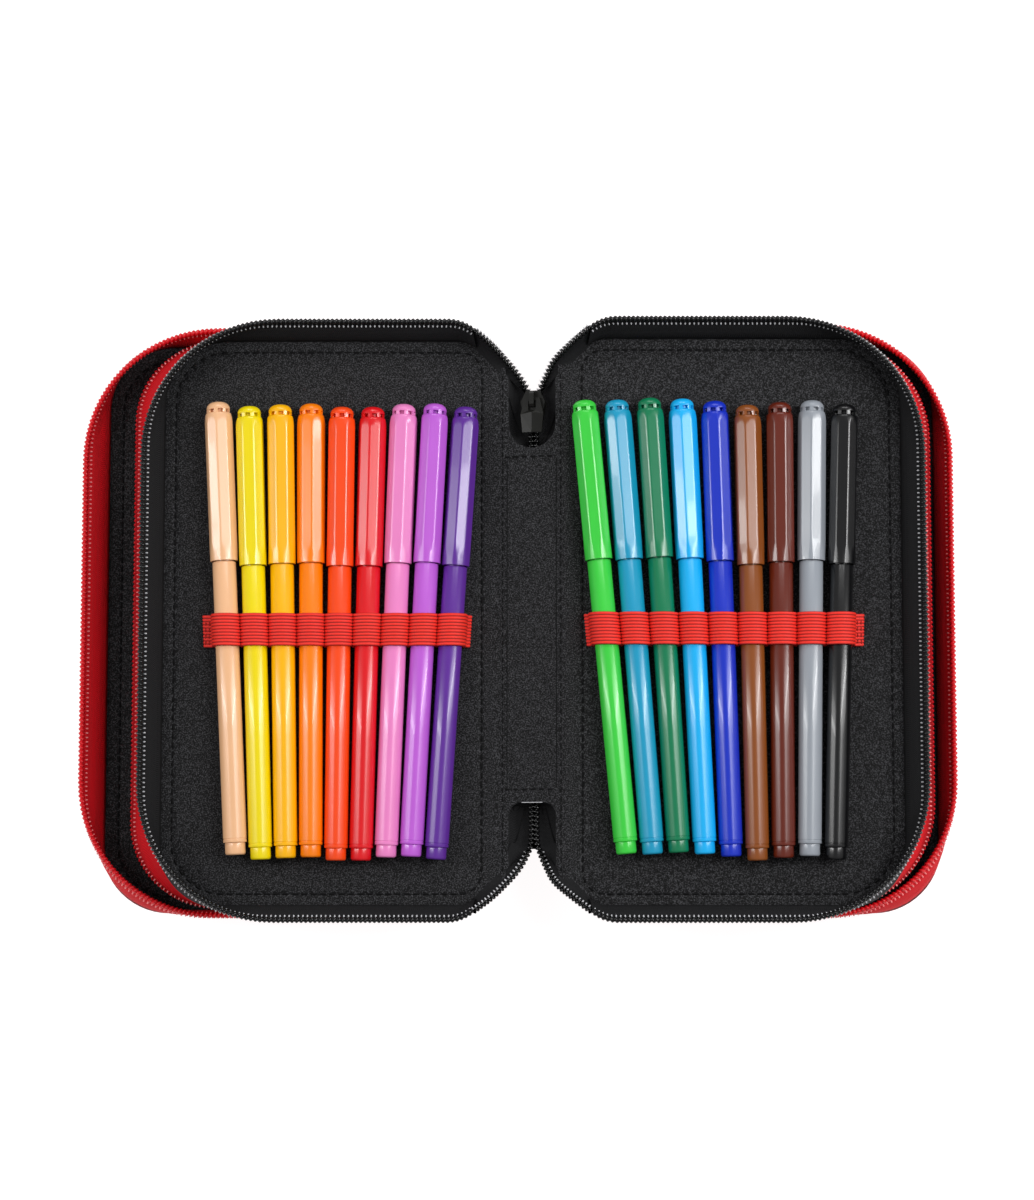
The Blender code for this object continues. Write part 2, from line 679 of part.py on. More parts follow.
def cap_shape():
    """The mouth is at 0; the facets run up to a shoulder, eight windows and a dome."""
    shape = bmesh.new()
    facets = CAP_FACETS
    rounds = 2 * facets
    turn = 180 / facets
    vent_top = CAP_LENGTH - CAP_DOME_HEIGHT
    sill = vent_top - CAP_VENT_HEIGHT
    shoulder = sill - CAP_VENT_SILL - CAP_SHOULDER
    vent_bore = CAP_VENT_RADIUS - CAP_VENT_WALL

    mouth = add_ring(shape, 0, CAP_MOUTH_RADIUS, rounds)
    facet_low = add_ring(shape, CAP_FACET_START, CAP_CORNER_RADIUS, facets, turn)
    facet_high = add_ring(shape, shoulder, CAP_CORNER_RADIUS, facets, turn)
    sill_out = add_ring(shape, sill, CAP_VENT_RADIUS, rounds)
    vent_out = add_ring(shape, vent_top, CAP_VENT_RADIUS, rounds)
    dome = add_ring(
        shape, vent_top + CAP_DOME_HEIGHT * CAP_DOME_RISE_SHARE,
        CAP_VENT_RADIUS * CAP_DOME_WAIST_SHARE, rounds,
    )
    crown = add_ring(shape, CAP_LENGTH, CAP_VENT_RADIUS * (1 - CAP_DOME_WAIST_SHARE), facets, turn)
    bore_mouth = add_ring(shape, 0, CAP_BORE_CORNER_RADIUS, facets, turn)
    bore_top = add_ring(shape, shoulder, CAP_BORE_CORNER_RADIUS, facets, turn)
    sill_in = add_ring(shape, sill, vent_bore, rounds)
    vent_in = add_ring(shape, vent_top, vent_bore, rounds)

    skin_round_to_facets(shape, mouth, facet_low)
    skin_rings(shape, facet_low, facet_high)
    skin_round_to_facets(shape, sill_out, facet_high)
    skin_rings(shape, vent_out, dome)
    skin_round_to_facets(shape, dome, crown)
    shape.faces.new(crown)
    skin_round_to_facets(shape, mouth, bore_mouth)
    skin_rings(shape, bore_mouth, bore_top)
    skin_round_to_facets(shape, sill_in, bore_top)
    shape.faces.new(vent_in)
    for index in range(rounds):
        after = (index + 1) % rounds
        if index % 2:
            shape.faces.new((sill_out[index], sill_out[after], sill_in[after], sill_in[index]))
            shape.faces.new((vent_out[index], vent_out[after], vent_in[after], vent_in[index]))
        else:
            shape.faces.new((sill_out[index], sill_out[after], vent_out[after], vent_out[index]))
            shape.faces.new((sill_in[index], sill_in[after], vent_in[after], vent_in[index]))
        shape.faces.new((sill_out[index], vent_out[index], vent_in[index], sill_in[index]))
    return shape


def pen_places(half):
    """Each pen's place under the band and its lean, outward at the cap end."""
    first, last = (math.radians(angle) for angle in half["fan_degrees"])
    places = []
    for index in range(PEN_COUNT):
        lean = first + (last - first) * index / (PEN_COUNT - 1)
        places.append((half["first_pen"] + index * half["pen_pitch"], lean))
    return places


def make_pens(half, body, pen_materials):
    for index, (place, lean) in enumerate(pen_places(half)):
        colour = half["colours"][index]
        side = half["side"]
        top = PEN_TOP - BAND_CENTRE + half["lift_shares"][index] * PEN_SLACK
        pen = make_empty(
            f"pen_axis_{colour}", body,
            (side * place, BAND_CENTRE, PEN_AXIS_HEIGHT), (0, 0, -side * lean),
        )
        barrel = barrel_shape()
        cap = cap_shape()
        bmesh.ops.translate(barrel, verts=barrel.verts, vec=(0, top - PEN_LENGTH, 0))
        bmesh.ops.translate(cap, verts=cap.verts, vec=(0, top - CAP_LENGTH, 0))
        make_object(f"barrel_{colour}", barrel, pen_materials[colour], pen)
        make_object(f"cap_{colour}", cap, pen_materials[colour], pen)


# Elastic bands: one ribbed band over nine barrels, sewn to the leaf between them

def band_centres(half, along):
    """Where each pen's axis passes at a place along the band's width."""
    return [place + along * math.tan(lean) for place, lean in pen_places(half)]


def valley_angle(pitch, radius):
    """Where a loop meets the next one, in degrees above the barrels' own height."""
    return math.degrees(math.acos(min(pitch / 2 / radius, 1)))


def band_outer_line(centres, rib):
    """The band's outer side at one place along its width, from tab to tab."""
    radius = BARREL_RADIUS + GAP + BAND_THICKNESS + rib
    axis = PEN_AXIS_HEIGHT
    tab_top = GAP + BAND_TAB_THICKNESS
    first = centres[0] - radius
    last = centres[-1] + radius
    line = [(first - BAND_INNER_TAB, GAP), (first - BAND_INNER_TAB, tab_top), (first, tab_top)]
    for index, centre in enumerate(centres):
        start = 180.0
        end = 0.0
        if index > 0:
            start = 180 - valley_angle(centre - centres[index - 1], radius)
        if index < len(centres) - 1:
            end = valley_angle(centres[index + 1] - centre, radius)
        steps = arc((centre, axis), radius, start, end, BAND_ARC_STEPS)
        line += steps if index == 0 else steps[1:]
    line += [(last, tab_top), (last + BAND_OUTER_TAB, tab_top), (last + BAND_OUTER_TAB, GAP)]
    return line


def band_inner_line(centres):
    """The arches that the barrels pass through, from the last to the first."""
    radius = BARREL_RADIUS + GAP
    line = []
    for centre in reversed(centres):
        line.append((centre + radius, GAP))
        line += arc((centre, PEN_AXIS_HEIGHT), radius, 0, 180, BAND_ARCH_STEPS)
        line.append((centre - radius, GAP))
    return line


def make_band(name, half, body, materials):
    shape = bmesh.new()
    side = half["side"]
    stations = 2 * BAND_RIBS
    outer = []
    inner = []
    for index in range(stations + 1):
        along = BAND_WIDTH * (index / stations - 0.5)
        centres = band_centres(half, along)
        rib = BAND_RIB if index % 2 else 0
        y = BAND_CENTRE + along
        outer.append([shape.verts.new((side * u, y, z)) for u, z in band_outer_line(centres, rib)])
        if index in (0, stations):
            inner.append([shape.verts.new((side * u, y, z)) for u, z in band_inner_line(centres)])
    for low, high in zip(outer, outer[1:]):
        for index in range(len(low) - 1):
            shape.faces.new((low[index], low[index + 1], high[index + 1], high[index]))
    low, high = inner
    for index in range(len(low) - 1):
        shape.faces.new((low[index], low[index + 1], high[index + 1], high[index]))
    shape.faces.new([line[-1] for line in outer] + [high[0], low[0]])
    shape.faces.new([line[0] for line in outer] + [high[-1], low[-1]])
    shape.faces.new(outer[0] + low)
    shape.faces.new(outer[-1] + high)
    make_object(f"elastic_band_{name}", shape, materials["red_elastic"], body)


# The whole case

def make_half(name, half, root, materials, pen_materials):
    side = half["side"]
    lean = half["lean"]
    rise = LEAF_BOTTOM[name] - COVER_FOLD_HEIGHT
    leaf = make_empty(f"fold_leaf_{name}", root, (side * HALF_SPAN, 0, LEAF_TOP[name]))
    strip = make_empty(
        f"fold_spine_{name}", root, (side * HALF_SPAN, 0, LEAF_BOTTOM[name]),
        (0, math.atan2(-side * rise, -lean), 0),
    )
    strip_middle = make_empty(f"middle_of_spine_{name}", strip, (-side * STRIP_WIDTH / 2, 0, 0))
    cover = make_empty(f"fold_cover_{name}", root, (side * (HALF_SPAN + lean), 0, COVER_FOLD_HEIGHT))

    make_leaf(name, half, leaf, materials)
    make_cover(name, half, cover, materials)
    make_outer_strip(name, strip_middle, materials)
    leaf_board = (LEAF_WIDTH, LEAF_HALF_HEIGHT, LEAF_CORNER)
    cover_board = (COVER_WIDTH, COVER_HALF_HEIGHT, COVER_CORNER)
    make_stringer(
        f"middle_zip_{name}", half, leaf, materials["black_zip"], leaf_board,
        (PEN_ZIP_FLARE, PEN_ZIP_FLARE), (FOLD_CORNER, RIM_FOLD_CORNER), GAP, 1,
    )
    make_stringer(
        f"outer_zip_{name}_leaf_side", half, leaf, materials["red_zip"], leaf_board,
        (BACK_ZIP_SIDE_FLARE, -BACK_ZIP_END_DRAW), (0, 0), -LEAF_THICKNESS - GAP, -1,
    )
    make_stringer(
        f"outer_zip_{name}_cover_side", half, cover, materials["red_zip"], cover_board,
        (COVER_ZIP_SIDE_FLARE, COVER_ZIP_END_FLARE), (0, 0), COVER_THICKNESS / 2 + GAP, 1,
    )
    make_band(name, half, leaf, materials)
    make_pens(half, leaf, pen_materials)
    tail = OUTER_CHAIN_START + OUTER_TURN_COUNT * CHAIN_PITCH + GAP
    strip_face = STRIP_THICKNESS / 2
    make_slider(f"outer_slider_{name}", strip_middle, materials, tail, -1, strip_face)
    make_pull_tab(f"outer_pull_tab_{name}", strip_middle, materials, tail, -1, strip_face)


def build():
    clear_scene()
    materials = {name: make_material(name, *look) for name, look in CASE_COLOURS.items()}
    pen_materials = {name: make_material(f"pen_{name}", tint, 0.3) for name, tint in PEN_COLOURS.items()}
    root = make_empty("pencil_case", None, ((LEFT_LEAN - RIGHT_LEAN) / 2, 0, 0))
    middle = make_empty("spine_frame", root, (0, 0, MIDDLE_HEIGHT), (0, -MIDDLE_TILT, 0))
    make_middle_strip(middle, materials)
    make_chain_end("middle_zip_top_end", middle, materials, TOP_TURN_COUNT, 1)
    make_chain_end("middle_zip_bottom_end", middle, materials, BOTTOM_TURN_COUNT, -1)
    tail = MIDDLE_CHAIN_START + TOP_TURN_COUNT * CHAIN_PITCH + GAP
    make_slider("middle_slider", middle, materials, tail, 1, TRAY_FLOOR)
    make_pull_tab("middle_pull_tab", middle, materials, tail, 1, TRAY_FLOOR)
    for name, half in HALVES.items():
        make_half(name, half, root, materials, pen_materials)


build()
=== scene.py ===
# %% [markdown]
# A filled pencil case, dressed for a render
#
# A three-zip school case lies open like a book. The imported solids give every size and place. This
# file makes the surfaces that the eye sees: woven boards, herringbone tapes, zip coils, ribbed
# elastic and eighteen moulded pens. Shapes are worked out in millimetres in the frame of the
# solids, and each mesh is turned into metres as it is made.

# %% Load the frame
import json
import math

import bmesh
import bpy
import numpy as np
from mathutils import Matrix, Vector

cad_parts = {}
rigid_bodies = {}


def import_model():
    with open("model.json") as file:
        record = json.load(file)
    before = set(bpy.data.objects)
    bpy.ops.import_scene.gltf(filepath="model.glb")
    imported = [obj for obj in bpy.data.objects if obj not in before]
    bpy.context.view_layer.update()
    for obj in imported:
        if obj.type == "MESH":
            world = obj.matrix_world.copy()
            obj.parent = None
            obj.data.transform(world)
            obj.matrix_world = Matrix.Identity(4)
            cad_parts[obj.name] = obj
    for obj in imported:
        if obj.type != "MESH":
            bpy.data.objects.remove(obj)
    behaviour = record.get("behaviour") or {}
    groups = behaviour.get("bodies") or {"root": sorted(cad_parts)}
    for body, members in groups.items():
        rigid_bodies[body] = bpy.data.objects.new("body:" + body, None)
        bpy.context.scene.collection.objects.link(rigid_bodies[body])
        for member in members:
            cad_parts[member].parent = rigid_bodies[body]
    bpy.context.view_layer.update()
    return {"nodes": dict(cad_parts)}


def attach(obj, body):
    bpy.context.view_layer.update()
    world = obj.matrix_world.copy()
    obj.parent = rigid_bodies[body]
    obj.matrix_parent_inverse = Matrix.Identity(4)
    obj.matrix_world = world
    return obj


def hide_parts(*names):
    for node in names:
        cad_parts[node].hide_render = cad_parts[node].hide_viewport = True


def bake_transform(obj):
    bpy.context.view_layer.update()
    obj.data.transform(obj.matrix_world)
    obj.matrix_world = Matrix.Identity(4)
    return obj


for leftover in list(bpy.data.objects):
    bpy.data.objects.remove(leftover, do_unlink=True)
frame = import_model()
MM = 0.001

# %% [markdown]
# Small helpers
#
# Colours are chosen as sRGB hex and turned to linear once. One helper adds any shader node with
# its settings and links, another makes an object from points and faces, and a third gives it its
# body and hides the solid that it stands for.

# %% Helpers
def linear(hex_colour):
    values = [int(hex_colour[i:i + 2], 16) / 255 for i in (1, 3, 5)]
    bent = [v / 12.92 if v <= 0.04045 else ((v + 0.055) / 1.055) ** 2.4 for v in values]
    return (*bent, 1.0)


def add_node(tree, kind, settings=None, links=None):
    """Add a node. Settings name its options or its sockets; links join sockets to outputs."""
    node = tree.nodes.new("ShaderNode" + kind)
    for key, value in (settings or {}).items():
        if isinstance(key, int) or key in node.inputs.keys():
            node.inputs[key].default_value = value
        else:
            setattr(node, key, value)
    for key, source in (links or {}).items():
        tree.links.new(source, node.inputs[key])
    return node


def new_material(name, **sockets):
    material = bpy.data.materials.new(name)
    material.use_nodes = True
    shader = material.node_tree.nodes["Principled BSDF"]
    for socket, value in sockets.items():
        shader.inputs[socket.replace("_", " ")].default_value = value
    return material, material.node_tree, shader


def moved(points, matrix):
    return [matrix @ Vector(point) for point in points]


def link(name, data):
    made = bpy.data.objects.new(name, data)
    bpy.context.collection.objects.link(made)
    return made


def new_object(name, points, faces, material, uvs=None):
    """A smooth mesh object from points in millimetres; uvs gives one pair for each point."""
    mesh = bpy.data.meshes.new(name)
    mesh.from_pydata([tuple(value * MM for value in point) for point in points], [], faces)
    if uvs is not None:
        layer = mesh.uv_layers.new(name="weave")
        for loop in mesh.loops:
            layer.data[loop.index].uv = uvs[loop.vertex_index]
    mesh.shade_smooth()
    mesh.materials.append(material)
    return link(name, mesh)


def sharpen(made, degrees):
    """Keep edges sharper than the angle as real edges; the rest shades as one surface."""
    mesh = made.data
    shape = bmesh.new()
    shape.from_mesh(mesh)
    bmesh.ops.remove_doubles(shape, verts=shape.verts, dist=0.002 * MM)
    bmesh.ops.recalc_face_normals(shape, faces=shape.faces)
    for edge in shape.edges:
        edge.smooth = edge.calc_face_angle(0.0) < math.radians(degrees)
    shape.to_mesh(mesh)
    shape.free()


def settle(made, slot_name, body, *nodes):
    """Give a piece its body and hide the solid that it stands for. The slot name is not used."""
    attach(made, body)
    if nodes:
        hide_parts(*nodes)


def add_piece(name, shape, matrix, dress, body, *nodes, uvs=None, crisp=None):
    """A settled piece from a shape in a frame. The dress is its material and a slot name; the slot
    name is not used.
    """
    points, faces = shape
    made = new_object(name, moved(points, matrix), faces, dress[0], uvs)
    if crisp:
        sharpen(made, crisp)
    settle(made, dress[1], body, *nodes)


def grid_faces(rows, columns, wrap=False):
    """Faces of a grid of points stored row by row; wrap closes each row on itself."""
    faces = []
    for low in range(0, (rows - 1) * columns, columns):
        high = low + columns
        for column in range(columns if wrap else columns - 1):
            after = (column + 1) % columns
            faces.append((low + column, low + after, high + after, high + column))
    return faces


def shifted(faces, start):
    return [tuple(start + i for i in face) for face in faces]


def flipped(faces, wanted=True):
    return [face[::-1] for face in faces] if wanted else faces


def sheet(rings, capped=True):
    """One sheet over a run of closed rings, with a face across the last one if capped."""
    points = sum(rings, [])
    count = len(rings[0])
    faces = grid_faces(len(rings), count, wrap=True)
    if capped:
        faces.append(tuple(range(len(points) - count, len(points))))
    return points, faces


def joined(shapes):
    """Several shapes, each its points and faces, as one."""
    points, faces = [], []
    for more_points, more_faces in shapes:
        faces += shifted(more_faces, len(points))
        points += more_points
    return points, faces


print("a millimetre is", MM, "of the frame's unit")

# %% [markdown]
# Cloths
#
# The boards are covered in plain-woven polyester. Its threads are about 0.4 mm apart, so two
# crossed waves of that length make the bump, and a fine noise paints light grey specks into the
# base colour: painted glints of the filament yarn. The tape is a herringbone twill: slanted ribs
# that turn back every few millimetres, made from the tape's own length and height in its UV map.

# %% Cloth materials
THREAD_SPACING = 0.42
PAINTED_GLINT_SIZE = 0.38
PAINTED_GLINT_STOPS = (0.47, 0.7)
TWILL_RIB = 0.55
HERRINGBONE_HALF = 2.4


def add_math(tree, operation, *fields, by=None):
    """One sum over fields, or over a field and the number in by."""
    settings = {"operation": operation} if by is None else {"operation": operation, 1: by}
    return add_node(tree, "Math", settings, dict(enumerate(fields))).outputs[0]


def add_mix(tree, shader, low, high, share):
    """Colour the surface between two hex colours."""
    settings = {"data_type": "RGBA", 6: linear(low), 7: linear(high)}
    mix = add_node(tree, "Mix", settings, {0: share})
    tree.links.new(mix.outputs[2], shader.inputs["Base Color"])


def add_bump(tree, shader, strength, depth_mm, height):
    """Raise the surface by a height field of a real depth."""
    settings = {"Strength": strength, "Distance": depth_mm * MM}
    bump = add_node(tree, "Bump", settings, {"Height": height})
    tree.links.new(bump.outputs["Normal"], shader.inputs["Normal"])


def woven_polyester(name, dark, light, roughness, sheen):
    """Plain weave: crossed waves for the bump, light specks as painted glints of the yarn."""
    material, tree, shader = new_material(
        name, Roughness=roughness, Specular_IOR_Level=0.2, Sheen_Weight=sheen, Sheen_Roughness=0.5
    )
    place = {"Vector": add_node(tree, "TexCoord").outputs["Object"]}
    frequency = math.pi / 10 / (THREAD_SPACING * MM)
    waves = []
    for direction in ("X", "Y"):
        settings = {"bands_direction": direction, "Scale": frequency, "Distortion": 0.0}
        waves.append(add_node(tree, "TexWave", settings, place).outputs["Fac"])
    # A fine noise paints light specks into the base colour: painted glints of the filament yarn.
    settings = {"Scale": 1 / (PAINTED_GLINT_SIZE * MM), "Detail": 1.0, "Roughness": 0.5}
    painted_glints = add_node(tree, "TexNoise", settings, place)
    ramp = add_node(tree, "ValToRGB", None, {"Fac": painted_glints.outputs["Fac"]})
    for stop, position, colour in zip(ramp.color_ramp.elements, PAINTED_GLINT_STOPS, (dark, light)):
        stop.position = position
        stop.color = linear(colour)
    tree.links.new(ramp.outputs["Color"], shader.inputs["Base Color"])
    add_bump(tree, shader, 0.35, 0.12, add_math(tree, "MULTIPLY", *waves))
    return material


def twill_tape(name, dark, light, roughness):
    """Herringbone: ribs at 45 degrees whose slant flips along the tape, from its UV in mm."""
    material, tree, shader = new_material(name, Roughness=roughness, Specular_IOR_Level=0.25)
    place = add_node(tree, "UVMap", {"uv_map": "weave"})
    parts = add_node(tree, "SeparateXYZ", None, {"Vector": place.outputs["UV"]})
    folded = add_math(tree, "PINGPONG", parts.outputs["Y"], by=HERRINGBONE_HALF)
    slanted = add_math(tree, "ADD", parts.outputs["X"], folded)
    rib = add_math(tree, "SINE", add_math(tree, "MULTIPLY", slanted, by=math.tau / TWILL_RIB))
    spread = add_node(tree, "MapRange", {"From Min": -1.0, "From Max": 1.0}, {"Value": rib})
    share = spread.outputs["Result"]
    add_mix(tree, shader, dark, light, share)
    add_bump(tree, shader, 0.6, 0.15, share)
    return material


BLACK_WEAVE = woven_polyester("black_woven_polyester", "#030304", "#464649", 0.7, 0.02)
RED_WEAVE = woven_polyester("red_woven_polyester", "#B40812", "#E81C2A", 0.6, 0.05)
BLACK_TWILL = twill_tape("black_herringbone_tape", "#030304", "#262628", 0.8)
RED_TWILL = twill_tape("red_herringbone_tape", "#BC0612", "#F01826", 0.7)
print("two weaves and two twills")

# %% [markdown]
# Nylon, thread, elastic, enamel and pen plastic
#
# Zip coils are nylon monofilament, smooth and bright. Sewing thread is matt. The elastic's ribs
# are modelled, so its material only adds the fine knit. Pull tabs are enamelled zinc. The pens are
# polypropylene, coloured all through, with a soft gloss and a trace of flow waviness.

# %% Hard and fine materials
def speckled(name, low, high, roughness, scale_mm, bump_mm, **sockets):
    """One colour that drifts a little at a real scale, with a bump to match."""
    material, tree, shader = new_material(name, Roughness=roughness, **sockets)
    place = {"Vector": add_node(tree, "TexCoord").outputs["Object"]}
    settings = {"Scale": 1 / (scale_mm * MM), "Detail": 2.0}
    noise = add_node(tree, "TexNoise", settings, place).outputs["Fac"]
    add_mix(tree, shader, low, high, noise)
    add_bump(tree, shader, 0.3, bump_mm, noise)
    return material


def darker(hex_colour, share):
    return "#" + "".join(f"{int(int(hex_colour[i:i + 2], 16) * share):02X}" for i in (1, 3, 5))


BLACK_NYLON = speckled("black_nylon_coil", "#050506", "#0A0A0B", 0.16, 3.0, 0.01)
RED_NYLON = speckled("red_nylon_coil", "#C80814", "#E81422", 0.3, 3.0, 0.01)
BLACK_THREAD = speckled(
    "black_sewing_thread", "#020203", "#08080A", 0.8, 0.3, 0.05, Specular_IOR_Level=0.2
)
RED_ELASTIC = speckled("red_knitted_elastic", "#E61A0E", "#FB3422", 0.62, 0.35, 0.08)
# The grooves' darker red is partly the thinner knit and partly painted shade.
DARK_ELASTIC = speckled("red_elastic_in_the_grooves", "#8E0C06", "#A8140B", 0.75, 0.35, 0.08)
ZINC_ENAMEL = speckled(
    "black_enamelled_zinc", "#0B0B0A", "#14140F", 0.38, 2.0, 0.01, Specular_IOR_Level=0.3
)
# The stitch beads take a light colour that is a painted glint of the coil's turns; the black one
# also paints the highlight on the middle strip's notch edge.
BLACK_THREAD_PAINTED_GLINT = speckled("black_polyester_lock_stitch", "#B0B0B4", "#DADADE", 0.3, 1.0, 0.01)
RED_THREAD_PAINTED_GLINT = speckled("red_polyester_lock_stitch", "#FF6468", "#FFB4B4", 0.35, 1.0, 0.01)

PEN_HEX = {
    "purple": "#5E2A96", "lilac": "#C05FD6", "pink": "#EE86C6", "red": "#E0101A",
    "vermilion": "#FA4A10", "orange": "#FF8200", "golden": "#FFB900", "yellow": "#F3DC00",
    "beige": "#F2BC8E", "green": "#3CD042", "teal": "#169AC2", "forest": "#0A7A50",
    "sky": "#12B2F4", "royal": "#1230C0", "brown": "#8A4A1C", "umber": "#63200F",
    "grey": "#969CA4", "black": "#0C0C0E",
}
PEN_PLASTIC = {
    colour: speckled(
        f"polypropylene_{colour}", darker(tint, 0.96), tint, 0.26, 14.0, 0.02, Coat_Weight=0.25
    )
    for colour, tint in PEN_HEX.items()
}
BLACK_CLOTH = (BLACK_WEAVE, "black_polyester")
RED_CLOTH = (RED_WEAVE, "red_polyester")
BLACK_SEAM = (BLACK_THREAD, "black_polyester")
print(len(PEN_PLASTIC), "pen plastics")

# %% [markdown]
# Places
#
# Each hinged part has its own frame, like the page of a book. On a leaf or a cover u runs outward
# from the fold, y runs up the page and z rises from it. A 4 x 4 matrix carries those points into
# the case. The middle strip is tilted, because the left leaf lies 4.9 mm lower than the right one.
# The nine pens of a leaf follow at one pitch, and the fan is the lean of the first and the last.

# %% Sizes and frames
STRIP = 24.0
COVER_FOLD_Z = 1.25
LEAF_THICKNESS = 3.0
PENS = 9
HALVES = {
    "left": {
        "side": -1, "lean": 17.0, "first": 15.2, "pitch": 9.36, "fan": (-3.7, 2.8),
        "colours": list(PEN_HEX)[:PENS], "cover_flares": (6.6, 3.5, 1.5), "back_corner": 28.0,
        "lifts": (-0.6, 0.4, 0.2, -0.8, -0.8, 0.3, 0.0, -0.5, 1.0),
        "turns": (14, 6, -9, 12, 3, -14, 8, -4, 16),
    },
    "right": {
        "side": 1, "lean": 10.0, "first": 12.6, "pitch": 9.75, "fan": (-5.2, 1.75),
        "colours": list(PEN_HEX)[PENS:], "cover_flares": (4.2, 5.2, 1.5), "back_corner": 34.0,
        "lifts": (1.0, 1.0, 1.6, 1.2, 0.4, -0.9, 0.0, 0.6, -0.6),
        "turns": (-6, 10, 4, 13, -12, 7, -3, 15, -8),
    },
}
for half in HALVES.values():
    half["bottom"] = COVER_FOLD_Z + math.sqrt(STRIP ** 2 - half["lean"] ** 2)
    half["top"] = half["bottom"] + LEAF_THICKNESS

LEFT, RIGHT = HALVES.values()
MIDDLE_TILT = math.asin((RIGHT["top"] - LEFT["top"]) / STRIP)
HALF_SPAN = STRIP * math.cos(MIDDLE_TILT) / 2
MIDDLE_Z = (RIGHT["top"] + LEFT["top"]) / 2
SHIFT = (LEFT["lean"] - RIGHT["lean"]) / 2


def hinge_frame(x, z, turn=0.0):
    """A frame on a hinge line, turned about it."""
    return Matrix.Translation((SHIFT + x, 0, z)) @ Matrix.Rotation(turn, 4, "Y")


MIDDLE_FRAME = hinge_frame(0, MIDDLE_Z, -MIDDLE_TILT)
for name, half in HALVES.items():
    side = half["side"]
    rise = half["bottom"] - COVER_FOLD_Z
    mirrored = Matrix.Diagonal((side, 1, 1, 1))
    half["name"] = name
    half["leaf"] = hinge_frame(side * HALF_SPAN, half["top"]) @ mirrored
    half["cover"] = hinge_frame(side * (HALF_SPAN + half["lean"]), COVER_FOLD_Z) @ mirrored
    fold = hinge_frame(side * HALF_SPAN, half["bottom"], math.atan2(-side * rise, -half["lean"]))
    half["strip"] = fold @ Matrix.Translation((-side * STRIP / 2, 0, 0))
print("middle strip tilts", round(math.degrees(MIDDLE_TILT), 2), "degrees")

# %% [markdown]
# Boards
#
# A board is a stiff sheet in a cloth cover, so its edge is round and its face a little crowned. A
# line of stitching about 5 mm inside the edge pulls the cloth down into a shallow channel that
# catches the light. The face is made from rings that follow the outline inward, each with its own
# height.

# %% Rounded outlines and boards
LEAF_SIZES = (0.3, 113.0, 96.0, 22.0, 12.0)
COVER_SIZES = (0.5, 117.0, 97.5, 23.0, 7.0)
LEAF_STITCH_INSET = 4.75
COVER_STITCH_INSET = 5.5
STITCH_DEPTH = 0.22
CHANNEL = (
    (0.0, -0.9), (0.15, -0.45), (0.5, -0.12), (1.2, 0.0), (3.4, 0.0), (4.2, -0.06),
    (LEAF_STITCH_INSET, -0.34), (5.3, -0.06), (6.4, 0.0), (14.0, 0.0), (30.0, 0.0),
)
EDGE_BULGE = 0.12
STITCH_HUMP = ((0.0, -0.1, 0.55), (0.2, 0.16, 1.0), (0.8, 0.16, 1.0), (1.0, -0.1, 0.55))
STITCH_ROUND = ((-1, 0), (-0.5, 0.8), (0.5, 0.8), (1, 0))


def corner_arc(centre, radius, start, end, steps):
    angles = np.radians(np.linspace(start, end, steps + 1))
    return [(centre[0] + radius * math.cos(a), centre[1] + radius * math.sin(a)) for a in angles]


def page_outline(inner, width, half_height, corner, fold_corner, inset=0.0):
    """A page from above, moved inward by the inset, always with the same number of points."""
    near, far = max(fold_corner - inset, 0.3), max(corner - inset, 0.3)
    top = half_height - inset
    upper = corner_arc((inner + inset + near, top - near), near, 180, 90, 6)
    upper += corner_arc((width - inset - far, top - far), far, 90, 0, 14)
    return upper + [(u, -y) for u, y in reversed(upper)]


def page_face(sizes, stitch_inset, level, facing):
    """The cloth face of a board: rings inward, with the sewn channel; facing is 1 up, -1 down."""
    rings = []
    for inset, height in CHANNEL:
        moved_in = inset if inset < 2 else inset + stitch_inset - LEAF_STITCH_INSET
        outline = page_outline(*sizes, inset=moved_in)
        rings.append([(u, y, level + facing * height) for u, y in outline])
    points, faces = sheet(rings)
    return points, flipped(faces, facing < 0)


def dashes(name, path, matrix, dress, body, height, length=2.2, gap=0.9, radius=0.34):
    """Machine stitches along a line: short thread humps that dive into the cloth."""
    humps = []
    phase = 0.0
    for (u0, y0), (u1, y1) in zip(path, path[1:]):
        span = math.hypot(u1 - u0, y1 - y0)
        if span < 1e-6:
            continue
        along = ((u1 - u0) / span, (y1 - y0) / span)
        place = phase
        while place + length <= span + 0.4:
            points = []
            for share, rise, wide in STITCH_HUMP:
                u = u0 + along[0] * (place + share * length)
                y = y0 + along[1] * (place + share * length)
                for across, up in STITCH_ROUND:
                    reach = radius * wide * across
                    spot = (u - along[1] * reach, y + along[0] * reach)
                    points.append((*spot, height + rise + radius * up))
            humps.append((points, grid_faces(len(STITCH_HUMP), len(STITCH_ROUND))))
            place += length + gap
        phase = max(place - span, 0.0)
    add_piece(name, joined(humps), matrix, dress, body)


def board(kind, half, sizes, levels, outside, stitch_inset):
    """Two cloth faces, the bound edge between them and the line of stitches."""
    low, high = levels
    place, body, node = half[kind], f"{half['name']}_{kind}", f"{kind}_{half['name']}"
    for label, level, facing, dress in (
        ("inside", high, 1, BLACK_CLOTH), ("outside", low, -1, outside)
    ):
        points, faces = page_face(sizes, stitch_inset, level, facing)
        shape = (points, flipped(faces, half["side"] < 0))
        add_piece(f"{node}_{label}", shape, place, dress, body, node)
    middle = (low + high) / 2
    reach = (high - low) / 2 - 0.85
    rings = []
    for share, bulge in ((1, 0.0), (0.5, EDGE_BULGE), (-0.5, EDGE_BULGE), (-1, 0.0)):
        outline = page_outline(*sizes, inset=-bulge)
        rings.append([(u, y, middle + reach * share) for u, y in outline])
    points, faces = sheet(rings, capped=False)
    shape = (points, flipped(faces, half["side"] > 0))
    add_piece(f"{node}_bound_edge", shape, place, outside, body, node)
    path = page_outline(*sizes, inset=stitch_inset)
    dashes(f"{node}_stitches", path + path[:1], place, BLACK_SEAM, body, high - STITCH_DEPTH)


